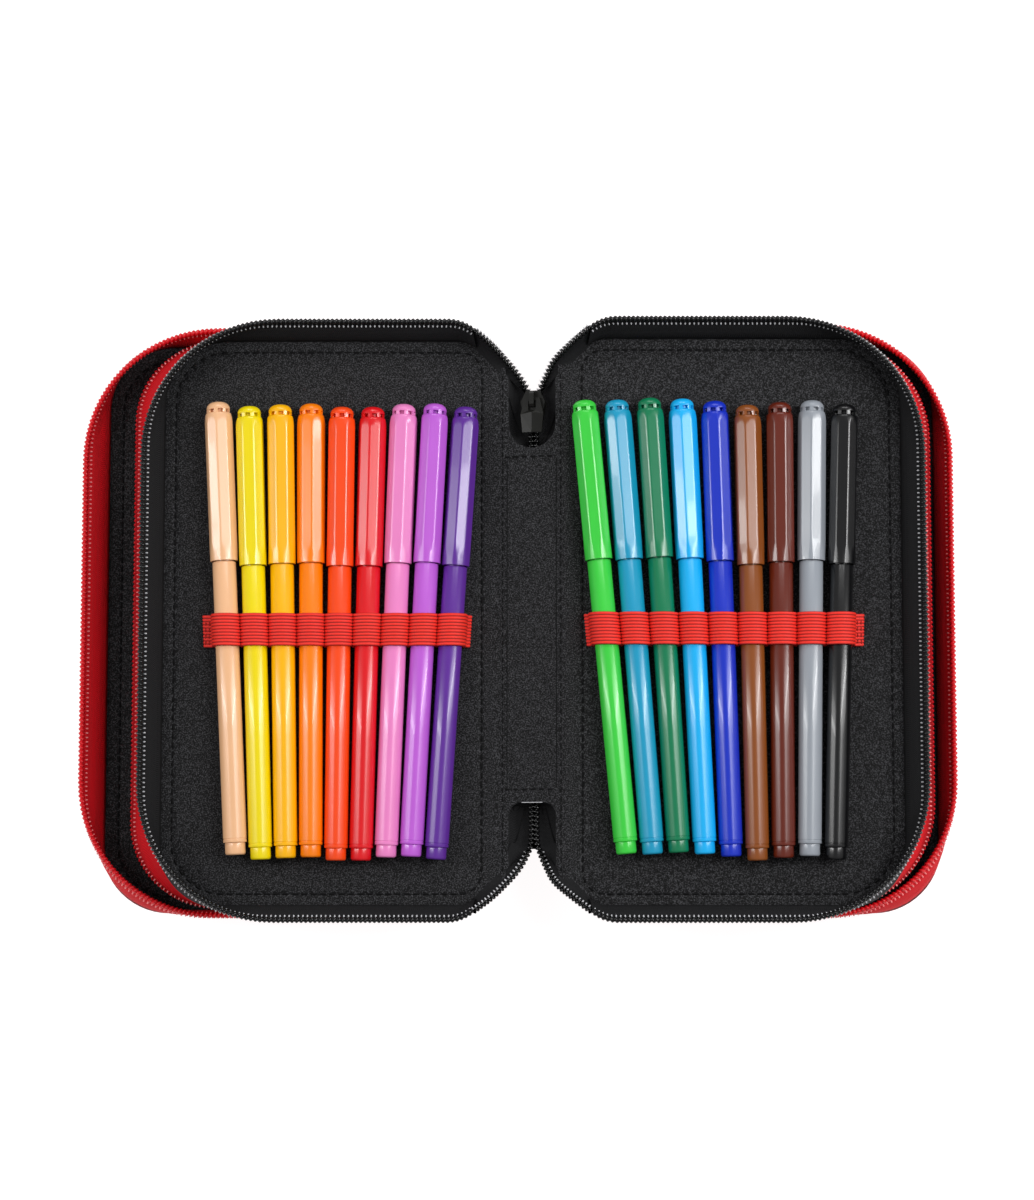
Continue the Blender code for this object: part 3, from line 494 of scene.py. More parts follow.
for half in HALVES.values():
    board("leaf", half, LEAF_SIZES, (-LEAF_THICKNESS, 0.0), BLACK_CLOTH, LEAF_STITCH_INSET)
    levels = (-COVER_FOLD_Z, COVER_FOLD_Z)
    board("cover", half, COVER_SIZES, levels, RED_CLOTH, COVER_STITCH_INSET)
print("leaves and covers are", LEAF_SIZES[1], "and", COVER_SIZES[1], "mm wide")

# %% [markdown]
# Zips
#
# Each half zip is a tape with a nylon coil along its rim. The tape stands on the board's edge and
# leans outward. Its foot follows the board's tight corners and its rim wider ones, so the wall is
# ruled between two outlines that share their outward directions. The coil is a true helix with a
# turn every 1.5 mm round a core, and two rows of lock stitch run under it, light-coloured as a
# painted glint on each turn of the coil.

# %% Zip tapes and coils
TAPE_HEIGHT = 9.6
TAPE_THICKNESS = 0.8
TAPE_COLUMNS = 5
TAPE_BULGE = (0.0, 0.25, 0.35, 0.2, 0.0)
TAPE_ROLL = 1.7
TAPE_ROUND = 12.0
STITCH_SHARE = 0.91
RIM_CORNER = 45.0
ZIP_START = 2.5
BACK_ZIP_START = 13.0
COIL_LIFT = 0.95
COIL_PITCH = 1.5
COIL_ACROSS = 0.64
COIL_UP = 0.6
CORE_RADIUS = 0.6
WIRE_RADIUS = 0.46
WIRE_SIDES = 6
TURN_STEPS = 10
BEAD = ((-0.48, 0.12), (-0.25, 0.27), (0.25, 0.27), (0.48, 0.12))
UP = (0.0, 0.0, 1.0)


def zip_line(width, half_height, corner, fold_corner, start_at):
    """Points round a page from fold to fold, each with its outward direction."""
    turn = ((start_at, half_height), 0, 90, 90, 0)
    if fold_corner:
        turn = ((ZIP_START + fold_corner, half_height - fold_corner), fold_corner, 130, 90, 8)
    stations = []
    for centre, radius, start, end, count in (
        turn, ((width - corner, half_height - corner), corner, 90, 0, 16)
    ):
        for angle in np.radians(np.linspace(start, end, count + 1)):
            outward = np.array([math.cos(angle), math.sin(angle)])
            stations.append((np.array(centre) + radius * outward, outward))
    flip = np.array([1, -1])
    return stations + [(point * flip, outward * flip) for point, outward in reversed(stations)]


def unit(vectors):
    return vectors / np.linalg.norm(vectors, axis=1)[:, None]


def distances(path):
    """How far along a path each of its points lies."""
    steps = np.linalg.norm(np.diff(path, axis=0), axis=1)
    return np.concatenate([[0], np.cumsum(steps)])


def resampled(vectors, reach, at):
    """Vectors that are known at some distances, read at others."""
    vectors = np.array(vectors, float)
    return np.column_stack([np.interp(at, reach, vectors[:, axis]) for axis in range(3)])


def wire(path, radius=WIRE_RADIUS, sides=WIRE_SIDES):
    """A round thread along a path of points."""
    path = np.array(path, float)
    along = unit(np.gradient(path, axis=0))
    guide = np.where(np.abs(along[:, 2:3]) > 0.85, [[1.0, 0.0, 0.0]], [UP])
    first = unit(np.cross(along, guide))
    turns = [math.tau * k / sides for k in range(sides)]
    points = [
        spot + radius * (one * math.cos(turn) + other * math.sin(turn))
        for spot, one, other in zip(path, first, np.cross(along, first)) for turn in turns
    ]
    return points, grid_faces(len(path), sides, wrap=True)


def helix(path, outward, up=UP, across=COIL_ACROSS, rise=COIL_UP):
    """A wire wound round a path. Each turn advances by the coil's pitch."""
    reach = distances(path)
    at = np.linspace(0, reach[-1], int(reach[-1] / COIL_PITCH) * TURN_STEPS + 1)
    spots, sideways = resampled(path, reach, at), resampled(outward, reach, at)
    upward = resampled(np.broadcast_to(up, (len(path), 3)), reach, at)
    phase = (np.arange(len(at)) * math.tau / TURN_STEPS)[:, None]
    return wire(spots + sideways * (across * np.cos(phase)) + upward * (rise * np.sin(phase)))


def stitch_beads(path, outward, up=1):
    """Lock stitch over each turn of the coil: a short thread, light-coloured as a painted glint."""
    reach = distances(path)
    at = np.arange(COIL_PITCH / 2, reach[-1], COIL_PITCH)
    beads = []
    for spot, way in zip(resampled(path, reach, at), resampled(outward, reach, at)):
        along = np.cross(way, UP)
        points = []
        for share, thick in BEAD:
            for k in range(6):
                turn = math.tau * k / 6
                lift = (0, 0, up * thick * math.sin(turn))
                points.append(spot + way * share + along * (thick * math.cos(turn)) + lift)
        faces = grid_faces(len(BEAD), 6, wrap=True)
        beads.append((points, faces + [(5, 4, 3, 2, 1, 0), (18, 19, 20, 21, 22, 23)]))
    return joined(beads)


def tape_and_coil(name, half, page, sizes, flares, turns, foot, up, looks,
                  rim_corner=RIM_CORNER, start_at=ZIP_START):
    """One half zip; up is -1 under a board.

    The flares are how far the rim stands out at the side, the top end and the bottom end. The
    tape is steep at its foot and rolls outward toward the rim.
    """
    width, half_height, corner = sizes[1] - 0.3, sizes[2] - 0.3, sizes[3]
    bases = zip_line(width, half_height, corner, turns[0], start_at)
    upper, lower = (
        zip_line(width + flares[0], half_height + end, rim_corner, turns[1], start_at)
        for end in flares[1:]
    )
    rims = upper[:len(upper) // 2] + lower[len(upper) // 2:]
    shares = [k / (TAPE_COLUMNS - 1) for k in range(TAPE_COLUMNS)]
    columns = [(share, 0.0, TAPE_BULGE[k]) for k, share in enumerate(shares)]
    columns += [(share, TAPE_THICKNESS, -0.3 * swell) for share, _, swell in columns[::-1]]
    points, uvs, coil_path, coil_out, thread_paths = [], [], [], [], ([], [])
    walked = distances([rim for rim, _ in rims])
    for (base, outward), (rim, _), reach in zip(bases, rims, walked):
        for share, depth, swell in columns:
            spot = base + (rim - base) * share ** TAPE_ROLL + outward * (swell - depth)
            points.append((*spot, foot + up * TAPE_HEIGHT * share))
            uvs.append((reach, share * TAPE_ROUND))
        middle = rim - outward * TAPE_THICKNESS / 2
        coil_path.append((*middle, foot + up * (TAPE_HEIGHT + COIL_LIFT)))
        coil_out.append((*outward, 0.0))
        for thread, depth in zip(thread_paths, (TAPE_THICKNESS + 0.12, -0.38)):
            spot = base + (rim - base) * STITCH_SHARE ** TAPE_ROLL - outward * depth
            thread.append((*spot, foot + up * TAPE_HEIGHT * STITCH_SHARE))
    faces = grid_faces(len(bases), len(columns), wrap=True)
    faces = flipped(faces, (half["side"] > 0) == (up > 0))
    tape_look, coil_look, stitch_look, slot_name = looks
    body = f"{half['name']}_{page}"

    def add(label, shape, look, uvs=None):
        add_piece(f"{name}_{label}", shape, half[page], (look, slot_name), body, name, uvs=uvs)

    add("tape", (points, faces), tape_look, uvs)
    add("coil", helix(coil_path, coil_out, (0.0, 0.0, up)), coil_look)
    # The beads sit where the lock stitch runs; their light colour is a painted glint of the coil.
    for number, thread in enumerate(thread_paths):
        add(f"lock_stitch_{number}", stitch_beads(thread, coil_out, up), stitch_look)
    add("coil_core", wire(coil_path, CORE_RADIUS, 8), tape_look)


BLACK_ZIP = (BLACK_TWILL, BLACK_NYLON, BLACK_THREAD_PAINTED_GLINT, "black_zip")
RED_ZIP = (RED_TWILL, RED_NYLON, RED_THREAD_PAINTED_GLINT, "red_zip")
for name, half in HALVES.items():
    tape_and_coil(
        f"middle_zip_{name}", half, "leaf", LEAF_SIZES, (5.8, 4.5, 4.5), (11.0, 14.0), 0.1, 1,
        BLACK_ZIP,
    )
    tape_and_coil(
        f"outer_zip_{name}_leaf_side", half, "leaf", LEAF_SIZES, (10.6, 1.5, -0.5), (0, 0), -3.1,
        -1, RED_ZIP, half["back_corner"], BACK_ZIP_START,
    )
    tape_and_coil(
        f"outer_zip_{name}_cover_side", half, "cover", COVER_SIZES, half["cover_flares"], (0, 0),
        1.35, 1, RED_ZIP,
    )
print("six half zips, a turn of coil every", COIL_PITCH, "mm")

# %% [markdown]
# Pens
#
# The cap has a round mouth, eight flats that start as pointed arches, a short neck and eight air
# windows under a domed end. The flats are planes that cut a round body, so each radius is the
# smaller of the two, and the narrow piece of round body left between two flats takes the light.
# The barrel is turned: a plug, a groove, a long tube, a neck and a fibre tip.

# %% Pens
PEN_LENGTH = 152.0
PEN_TOP = 72.5
PEN_AXIS = 4.95
CAP_LENGTH = 54.0
CAP_BODY = 4.62
CAP_FLAT = 4.60
NECK_START = 45.6
CAP_SILL = 50.1
VENT_TOP = 51.3
VENT_RADIUS = 3.95
INNER_PLUG = (
    (CAP_SILL + 0.04, VENT_RADIUS - 0.12), (CAP_SILL + 0.04, 3.0), (CAP_SILL + 0.3, 2.75),
    (VENT_TOP + 0.1, 2.7),
)
CAP_BORE = ((46.0, 3.5), (1.0, 4.02), (0.0, 4.1), (0.0, 4.5))
CAP_HEIGHTS = (
    0.12, 0.5, 1.2, 1.8, 2.4, 3.0, 3.6, 4.2, 4.8, 5.4, 6.0, 6.6, 7.2, 12.0, 20.0, 30.0, 40.0, 44.5,
    NECK_START, 46.3, 46.9, 47.5, 48.1, 48.7, 49.2, 49.6, 49.9, CAP_SILL,
)
FACET_TURNS = (-22.5, -20.6, -18.4, -15.0, 0.0, 15.0, 18.4, 20.6)
CAP_ANGLES = [math.radians(45 * facet + turn) for facet in range(8) for turn in FACET_TURNS]
MOUTH = PEN_LENGTH - CAP_LENGTH - 0.3
BARREL_PROFILE = (
    (0.0, 0.0), (0.0, 2.0), (0.05, 2.9), (0.35, 3.28), (0.8, 3.4), (3.7, 3.4), (4.0, 3.36),
    (4.1, 3.3), (4.1, 3.75), (4.2, 3.9), (4.45, 3.95), (5.1, 3.95), (5.22, 3.83), (5.4, 3.83),
    (5.52, 3.95), (40.0, 3.95), (MOUTH - 0.25, 3.95), (MOUTH, 3.75), (MOUTH, 3.2),
    (MOUTH + 19.6, 3.2), (MOUTH + 20.0, 3.0), (MOUTH + 26.0, 1.3), (MOUTH + 26.1, 1.0),
    (MOUTH + 31.2, 0.75), (MOUTH + 32.0, 0.3), (MOUTH + 32.0, 0.0),
)
BAND_Y = -3.7


def cap_radius(along, angle):
    """The smaller of the round moulding and the flat that cuts it."""
    body = CAP_BODY + 0.09 * min(along / 6.0, 1.0)
    flat = CAP_FLAT - 0.165 * min(max(along - 1.4, 0.0) / 5.6, 1.0) ** 0.8
    if along > NECK_START:
        share = (along - NECK_START) / (CAP_SILL - NECK_START)
        end = VENT_RADIUS + 0.05
        neck = end + (4.75 - VENT_RADIUS - 0.05) * math.sqrt(max(1 - share ** 1.7, 0.0))
        body = min(body, neck)
    facet = (angle + math.radians(22.5)) % math.radians(45) - math.radians(22.5)
    return min(body, flat / math.cos(facet))


def around(along, radii, angles):
    """A ring of points round the pen's axis, which runs along Y."""
    return [(r * math.cos(a), along, r * math.sin(a)) for r, a in zip(radii, angles)]


def turned(profile, angles=CAP_ANGLES):
    """A round ring for each step of a profile."""
    return [around(along, [radius] * len(angles), angles) for along, radius in profile]


def cap_shell():
    """Bore, mouth and outside in one sheet, up to the window sill and back in to the plug."""
    rings = turned(CAP_BORE)
    for along in CAP_HEIGHTS:
        rings.append(around(along, [cap_radius(along, a) for a in CAP_ANGLES], CAP_ANGLES))
    return sheet(rings + turned(INNER_PLUG))


def cap_posts():
    """Eight short walls between the windows, each a bent block."""
    faces = []
    for k in range(3):
        faces += [(k, k + 1, k + 9, k + 8), (k + 5, k + 4, k + 12, k + 13)]
    faces += [(0, 8, 12, 4), (3, 7, 15, 11)]
    corners = [(h, r) for h in (CAP_SILL - 0.1, VENT_TOP + 0.1) for r in (VENT_RADIUS - 0.06, 3.15)]
    posts = []
    for post in range(8):
        middle = math.radians(45 * post + 22.5)
        angles = [middle + math.radians(turn) for turn in (-9.5, -4.0, 4.0, 9.5)]
        posts.append((sum(turned(corners, angles), []), faces))
    return joined(posts)


def cap_dome():
    """The domed end, from the windows' lintel to its closed top."""
    profile = [(VENT_TOP, 2.6), (VENT_TOP, VENT_RADIUS - 0.12), (VENT_TOP + 0.12, VENT_RADIUS)]
    for turn in np.radians(np.linspace(6, 84, 9)):
        radius = 0.35 + (VENT_RADIUS - 0.35) * math.cos(turn) ** 0.8
        profile.append((VENT_TOP + 0.2 + 2.5 * math.sin(turn), radius))
    return sheet(turned(profile))


def pen_lean(half, index):
    low, high = half["fan"]
    return math.radians(low + (high - low) * index / (PENS - 1))


MOULDINGS = (
    ("cap", joined([cap_shell(), cap_posts(), cap_dome()]), CAP_LENGTH, 35),
    ("barrel", sheet(turned(BARREL_PROFILE, [math.tau * k / 48 for k in range(48)]), capped=False),
     PEN_LENGTH, 40),
)


def make_pen(half, index):
    """A cap on a barrel at its place in the fan."""
    colour, side = half["colours"][index], half["side"]
    place = half["first"] + index * half["pitch"]
    top = PEN_TOP - BAND_Y + half["lifts"][index]
    axis = Matrix.Translation(
        (SHIFT + side * (HALF_SPAN + place), BAND_Y, half["top"] + PEN_AXIS)
    )
    axis = axis @ Matrix.Rotation(-side * pen_lean(half, index), 4, "Z")
    axis = axis @ Matrix.Rotation(math.radians(half["turns"][index]), 4, "Y")
    for kind, shape, length, crisp in MOULDINGS:
        node = f"{kind}_{colour}"
        add_piece(
            f"{node}_moulding", shape, axis @ Matrix.Translation((0, top - length, 0)),
            (PEN_PLASTIC[colour], f"pen_{colour}"), node, node, crisp=crisp,
        )


for half in HALVES.values():
    for index in range(PENS):
        make_pen(half, index)
print(PENS * len(HALVES), "capped pens")

# %% [markdown]
# Elastic bands
#
# One ribbed band crosses nine barrels and is sewn down between them. Its outside follows an arc
# over each barrel and drops into a narrow valley, and its height swells ten times across the
# width. The grooves get a darker elastic, because the knit there is pressed thin and in shade.

# %% Elastic bands
BAND_WIDTH = 10.8
BAND_RIBS = 10
RIB_STEPS = 6
RIB_HEIGHT = 0.3
LOOP_RADIUS = 4.25
BAND_THICKNESS = 0.65
TACK_REACH = 4.6


def pen_centres(half, along):
    """How far out each pen's axis lies, at a distance along the pens from the band."""
    return [
        half["first"] + index * half["pitch"] + along * math.tan(pen_lean(half, index))
        for index in range(PENS)
    ]


def band_line(centres, rib):
    """The band's outside from the inner tab over nine loops to the outer tab."""
    radius = LOOP_RADIUS + BAND_THICKNESS + rib
    first, last = centres[0] - radius, centres[-1] + radius
    line = [(first - 1.4, 0.3), (first - 1.35, 1.3 + rib * 0.4), (first - 0.3, 1.45 + rib * 0.4)]
    for index, centre in enumerate(centres):
        start, end = 180.0, 0.0
        if index:
            gap = (centre - centres[index - 1]) / 2
            start = 180 - math.degrees(math.acos(min(gap / radius, 1)))
        if index < PENS - 1:
            end = math.degrees(math.acos(min((centres[index + 1] - centre) / 2 / radius, 1)))
        arc = corner_arc((centre, PEN_AXIS), radius, start, end, 14)
        if index:
            arc[0] = (centre - gap, arc[0][1] - 0.7)
        line += arc
    line += [(last + 0.3, 1.45 + rib * 0.4), (last + 1.6, 1.5 + rib * 0.6)]
    return line + [(last + 3.1, 1.45 + rib * 0.6), (last + 3.2, 0.3)]


def arch_line(centres):
    """The band's inside, back over the nine loops."""
    line = []
    for centre in reversed(centres):
        line.append((centre + LOOP_RADIUS, 0.3))
        line += corner_arc((centre, PEN_AXIS), LOOP_RADIUS, 0, 180, 16)
        line.append((centre - LOOP_RADIUS, 0.3))
    return line


def make_band(half):
    """Ribs over nine loops, the cut ends, the loops' inside and two rows of tacking."""
    stations = BAND_RIBS * RIB_STEPS
    alongs = [BAND_WIDTH * (index / stations - 0.5) for index in range(stations + 1)]
    points, looks = [], []
    for index, along in enumerate(alongs):
        rib = RIB_HEIGHT * abs(math.sin(math.pi * index / RIB_STEPS)) ** 0.6
        line = band_line(pen_centres(half, along), rib)
        points += [(u, BAND_Y + along, z) for u, z in line]
    columns = len(line)
    faces = grid_faces(stations + 1, columns)
    # Faces in the grooves between ribs take the darker elastic: thinner knit and painted shade.
    for index in range(stations):
        looks += [int(index % RIB_STEPS in (0, RIB_STEPS - 1))] * (columns - 1)
    near = len(points)
    for along in (alongs[0], alongs[-1]):
        arch = arch_line(pen_centres(half, along))
        points += [(u, BAND_Y + along, z) for u, z in arch]
    far = near + len(arch)
    for outer, inner in ((0, near), (stations * columns, far)):
        faces.append((*range(outer, outer + columns), *range(inner, inner + len(arch))))
    faces += [(near + k, near + k + 1, far + k + 1, far + k) for k in range(len(arch) - 1)]
    looks += [0] * (len(faces) - len(looks))
    name = f"elastic_band_{half['name']}"
    band = new_object(f"{name}_ribbed", moved(points, half["leaf"]), faces, RED_ELASTIC)
    band.data.materials.append(DARK_ELASTIC)
    band.data.polygons.foreach_set("material_index", looks)
    body = f"{half['name']}_leaf"
    settle(band, "red_elastic", body, name)
    last = pen_centres(half, 0.0)[-1] + LOOP_RADIUS + BAND_THICKNESS
    for number, u in enumerate((last + 1.3, last + 2.5)):
        dashes(
            f"{name}_tack_{number}", [(u, BAND_Y - TACK_REACH), (u, BAND_Y + TACK_REACH)],
            half["leaf"], (DARK_ELASTIC, "red_elastic"), body, 1.72, 1.5, 0.6, 0.14,
        )


for half in HALVES.values():
    make_band(half)
print("bands of", BAND_RIBS, "ribs")

# %% [markdown]
# Spine strips
#
# The middle strip is soft cloth over thin card, with a notch at each end for the zip: round at the
# top, flat at the foot, where a light thread along the edge is a painted highlight. Two seams
# crease it beside its folds. The outer strips carry the closed ends of the red zips.

# %% Spine strips
NOTCH_REACH = 8.0
NOTCH_CENTRE = 66.5
FLAT_CENTRE = 65.2
FLAT_HALF = 3.8
STRIP_STITCH = (2.0, 0.9)


def strip_cloth(node, outline, low, high, matrix, dress, body, edge):
    """Cloth-covered card with a soft rim, from its outline seen from above."""
    count = len(outline)
    points = [(x, y, low) for x, y in outline] + [(x, y, high) for x, y in outline]
    faces = [tuple(range(count - 1, -1, -1)), tuple(range(count, 2 * count))]
    faces += [(i, (i + 1) % count, count + (i + 1) % count, count + i) for i in range(count)]
    made = new_object(f"{node}_cloth", points, faces, dress[0])
    shape = bmesh.new()
    shape.from_mesh(made.data)
    bmesh.ops.recalc_face_normals(shape, faces=shape.faces)
    rims = [e for e in shape.edges if e.calc_face_angle(0.0) > math.radians(60)]
    bmesh.ops.bevel(shape, geom=rims, offset=edge * MM, segments=3, profile=0.6, affect="EDGES")
    shape.transform(Matrix.Scale(MM, 4) @ matrix @ Matrix.Scale(1 / MM, 4))
    if matrix.determinant() < 0:
        bmesh.ops.reverse_faces(shape, faces=shape.faces)
    shape.to_mesh(made.data)
    shape.free()
    settle(made, dress[1], body, node)


def notch_arc(toward, reach):
    """A notch's closed end: round at the top of the case, flat with two corners at its foot."""
    if toward > 0:
        return corner_arc((0, NOTCH_CENTRE), reach, 180, 360, 25)
    corner = reach - FLAT_HALF
    arc = corner_arc((-FLAT_HALF, FLAT_CENTRE), corner, 180, 270, 12)
    return arc + corner_arc((FLAT_HALF, FLAT_CENTRE), corner, 270, 360, 12)


def notched_outline():
    upper, lower = (
        [(-11.7, 86.8), (-NOTCH_REACH, 82.2)] + notch_arc(toward, NOTCH_REACH)
        + [(NOTCH_REACH, 82.2), (11.7, 86.8)]
        for toward in (1, -1)
    )
    return upper + [(x, -y) for x, y in reversed(lower)]


def strip_thread(label, path, radius, look):
    """A thread that lies along the middle strip."""
    add_piece(
        f"spine_middle_{label}", wire(path, radius), MIDDLE_FRAME, (look, "black_polyester"),
        "spine", "spine_middle",
    )


strip_cloth(
    "spine_middle", notched_outline(), -1.2, 0.0, MIDDLE_FRAME, BLACK_CLOTH, "spine", 0.35
)
# A thin light thread on the notch's flat edge is a painted highlight of the cloth's edge.
strip_thread("edge_painted_highlight", [(x / 2, -60.9, -0.1) for x in range(-7, 8)], 0.14, BLACK_THREAD_PAINTED_GLINT)
for number, path in enumerate((
    [(-10.0, -84.0), (-10.0, 84.0)], [(9.9, -84.0), (9.9, 84.0)],
    [(-9.4, 55.4), (9.4, 55.4)], [(-9.4, -56.6), (9.4, -56.6)],
)):
    name = f"spine_middle_stitches_{number}"
    dashes(name, path, MIDDLE_FRAME, BLACK_SEAM, "spine", -0.12, *STRIP_STITCH, 0.32)
for number, x in enumerate((-8.5, 8.3)):
    path = [(x, y, -0.14) for y in range(-56, 56, 2)]
    strip_thread(f"crease_{number}", path, 0.24, BLACK_THREAD)

for name, half in HALVES.items():
    near = 11.0 * half["side"]
    outline = [(-near, -92.0), (0.0, -91.0), (near, -85.0)]
    outline += [(near, 85.0), (0.0, 91.0), (-near, 92.0)]
    node, body = f"spine_{name}", f"{name}_spine"
    strip_cloth(node, outline, -0.6, 0.6, half["strip"], RED_CLOTH, body, 0.4)
    for number, x in enumerate((-9.6, 9.6)):
        dashes(
            f"{node}_stitches_{number}", [(x, -84.0), (x, 84.0)], half["strip"],
            (RED_NYLON, "red_polyester"), body, 0.5, *STRIP_STITCH, 0.2,
        )
print("three strips")

# %% [markdown]
# Folds
#
# A fold is a band of cloth that lies on both pages and bends round the hinge line. Its section
# runs from one page to the other, with each point in the frame of the page it lies on.

# %% Folds
FOLD_STEPS = 30
STRIP_EDGE = ((8.2, 0.66), (9.4, 0.74), (10.6, 0.72))
MIDDLE_EDGE = ((9.0, 0.06), (10.2, 0.14), (11.2, 0.2), (11.8, 0.26))
LEAF_EDGE = ((0.3, 0.26), (0.9, 0.2), (2.0, 0.12), (3.4, 0.02))
LEAF_UNDERSIDE = ((0.22, -0.9), (0.12, -1.6), (0.05, -2.4), (-0.1, -2.9))
COVER_UNDERSIDE = ((-0.2, -1.0), (0.5, -1.2), (1.8, -1.24), (3.2, -1.2))


def fold_cloth(name, reach, bodies, dress, *runs):
    """A band of cloth along a hinge line; each run is a frame, a side and points across it."""
    section = []
    for matrix, side, places in runs:
        section += [matrix @ Vector((side * x, 0, z)) for x, z in places]
    points, uvs = [], []
    for row in range(FOLD_STEPS + 1):
        y = reach * (2 * row / FOLD_STEPS - 1)
        points += [(point.x, y, point.z) for point in section]
        uvs += [(y, float(column)) for column in range(len(section))]
    made = new_object(name, points, grid_faces(FOLD_STEPS + 1, len(section)), dress[0], uvs)
    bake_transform(made)


for name, half in HALVES.items():
    side = half["side"]
    leaf, strip, cover = f"{name}_leaf", f"{name}_spine", f"{name}_cover"
    fold_cloth(
        f"fold_leaf_{name}", 87.4, ("spine", leaf), BLACK_CLOTH,
        (MIDDLE_FRAME, side, MIDDLE_EDGE), (half["leaf"], 1, LEAF_EDGE),
    )
    fold_cloth(
        f"fold_spine_{name}", 84.6, (leaf, strip), RED_CLOTH,
        (half["leaf"], 1, LEAF_UNDERSIDE), (half["strip"], side, ((11.6, 0.5), *STRIP_EDGE[::-1])),
    )
    fold_cloth(
        f"fold_cover_{name}", 91.0, (strip, cover), RED_CLOTH,
        (half["strip"], -side, (*STRIP_EDGE, (11.4, 0.6))), (half["cover"], 1, COVER_UNDERSIDE),
    )
print("six folds")

# %% [markdown]
# Zip ends
#
# At each end of the middle strip the two coils come down from the leaves, meet in a V and run
# joined into a pocket of black twill. Each coil is one wire from the leaf's rim to the chain, and
# a web of tape fills the V on each side. On the outer strips the red coils run joined and part.
# From there a gusset of tape with its own coil climbs to each half zip.

# %% Zip ends
TRAY_FLOOR = -5.7
CHAIN_Z = TRAY_FLOOR + 2.25
CHAIN_START = 59.0
CHAIN_HALF = 0.9
POCKET_END = 74.4
OUTER_CHAIN_Z = 2.85
PATH_STEPS = 12
WEB_COLUMNS = 7
END_TAPE_COLUMNS = 5
GUSSET_COLUMNS = 6
FIRST_BEAD = 22


def smooth_path(points, steps=PATH_STEPS):
    """A smooth curve through the points."""
    points = [np.array(point, float) for point in points]
    padded = [2 * points[0] - points[1]] + points + [2 * points[-1] - points[-2]]
    path = []
    for a, b, c, d in zip(padded, padded[1:], padded[2:], padded[3:]):
        for t in np.arange(steps) / steps:
            path.append(0.5 * (2 * b + (c - a) * t + (2 * a - 5 * b + 4 * c - d) * t * t
                               + (3 * b - a - 3 * c + d) * t ** 3))
    return path + [points[-1]]


def sideways_of(path, side):
    """For each point the level direction across the path."""
    along = np.gradient(np.array(path), axis=0)
    return unit(np.column_stack([along[:, 1], -along[:, 0], np.zeros(len(along))]) * side)


def bridge(matrix, lane, on_strip, page_frame, on_page, toward):
    """A smooth line from one side of a strip to a page."""
    world = moved([(lane * x, toward * y, z) for x, y, z in on_strip], matrix)
    world += moved([(u, toward * y, z) for u, y, z in on_page], page_frame)
    return smooth_path(world)


def blend_all(pieces, node):
    """Hide the solid that the pieces stand for and bake each piece's place into its mesh."""
    for piece in pieces:
        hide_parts(node)
        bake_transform(piece)


def zip_end(label, toward, parting):
    """The two coils and webs at one end; toward is 1 at the top and -1 at the bottom."""
    rim_on_strip = (
        (CHAIN_HALF, CHAIN_START, CHAIN_Z), (CHAIN_HALF, parting, CHAIN_Z),
        (2.2, 77.8, CHAIN_Z + 0.2), (4.8, 83.0, CHAIN_Z + 1.9), (8.2, 87.6, 1.6),
    )
    foot_on_strip = (
        (2.6, CHAIN_START, TRAY_FLOOR + 0.3), (6.2, parting, TRAY_FLOOR + 0.6),
        (8.0, 74.5, TRAY_FLOOR + 2.6), (8.6, 79.5, -1.0), (10.2, 83.4, 0.2),
    )
    for name, half in HALVES.items():
        side, leaf = half["side"], half["leaf"]
        path = bridge(
            MIDDLE_FRAME, side, rim_on_strip, leaf, ((1.9, 92.7, 6.6), (7.4, 96.8, 10.5)), toward
        )
        foot = bridge(
            MIDDLE_FRAME, side, foot_on_strip, leaf, ((2.2, 87.2, 0.2), (7.4, 92.4, 0.1)), toward
        )
        across = sideways_of(path, side)
        end = f"middle_zip_{label}"
        coil = new_object(f"{end}_coil_{name}", *helix(path, across, UP, 0.7, 0.45), BLACK_NYLON)
        points, uvs = [], []
        for low, high, reach in zip(foot, path, distances(path)):
            for column in range(WEB_COLUMNS):
                share = column / (WEB_COLUMNS - 1)
                sag = 1.1 * math.sin(math.pi * share) + 0.25 * share
                points.append(low + (high - low) * share - (0, 0, sag))
                uvs.append((reach, share * float(np.linalg.norm(high - low)) + 2.0))
        faces = grid_faces(len(path), WEB_COLUMNS)
        web = new_object(f"{end}_web_{name}", points, faces, BLACK_TWILL, uvs)
        # Light beads along the coil: lock stitch in a painted glint colour.
        seam = [point - way * 0.95 + (0, 0, 0.1) for point, way in zip(path, across)]
        stitches = stitch_beads(seam[FIRST_BEAD:], across[FIRST_BEAD:])
        beads = new_object(f"{end}_lock_stitch_{name}", *stitches, BLACK_THREAD_PAINTED_GLINT)
        blend_all(
            (coil, web, beads), f"{end}_end",
        )


def tray(label, toward):
    """The twill pocket under the notch: a floor, a sloping wall and a lip under the strip."""
    rings = []
    for reach, z in ((9.8, -1.5), (9.2, -2.0), (8.2, -3.6), (7.3, -5.3), (6.6, TRAY_FLOOR)):
        ring = [(-reach, POCKET_END + reach)] + notch_arc(toward, reach)
        ring.append((reach, POCKET_END + reach))
        ring += [(reach * k, POCKET_END + reach * abs(k)) for k in (0.6, 0.2, -0.2, -0.6)]
        rings.append([(x, toward * y, z) for x, y in ring])
    points, faces = sheet(rings)
    inner, count = len(points), len(rings[0])
    points += [(x * 1.03, y, z - 0.8) for x, y, z in points]
    faces += flipped(shifted(faces, inner))
    for i in range(count):
        after = (i + 1) % count
        faces.append((i, after, inner + after, inner + i))
    add_piece(
        f"middle_zip_{label}_pocket", (points, faces), MIDDLE_FRAME, (BLACK_TWILL, "black_zip"),
        "spine", f"middle_zip_{label}_end", uvs=[(y, x + z) for x, y, z in points], crisp=50,
    )


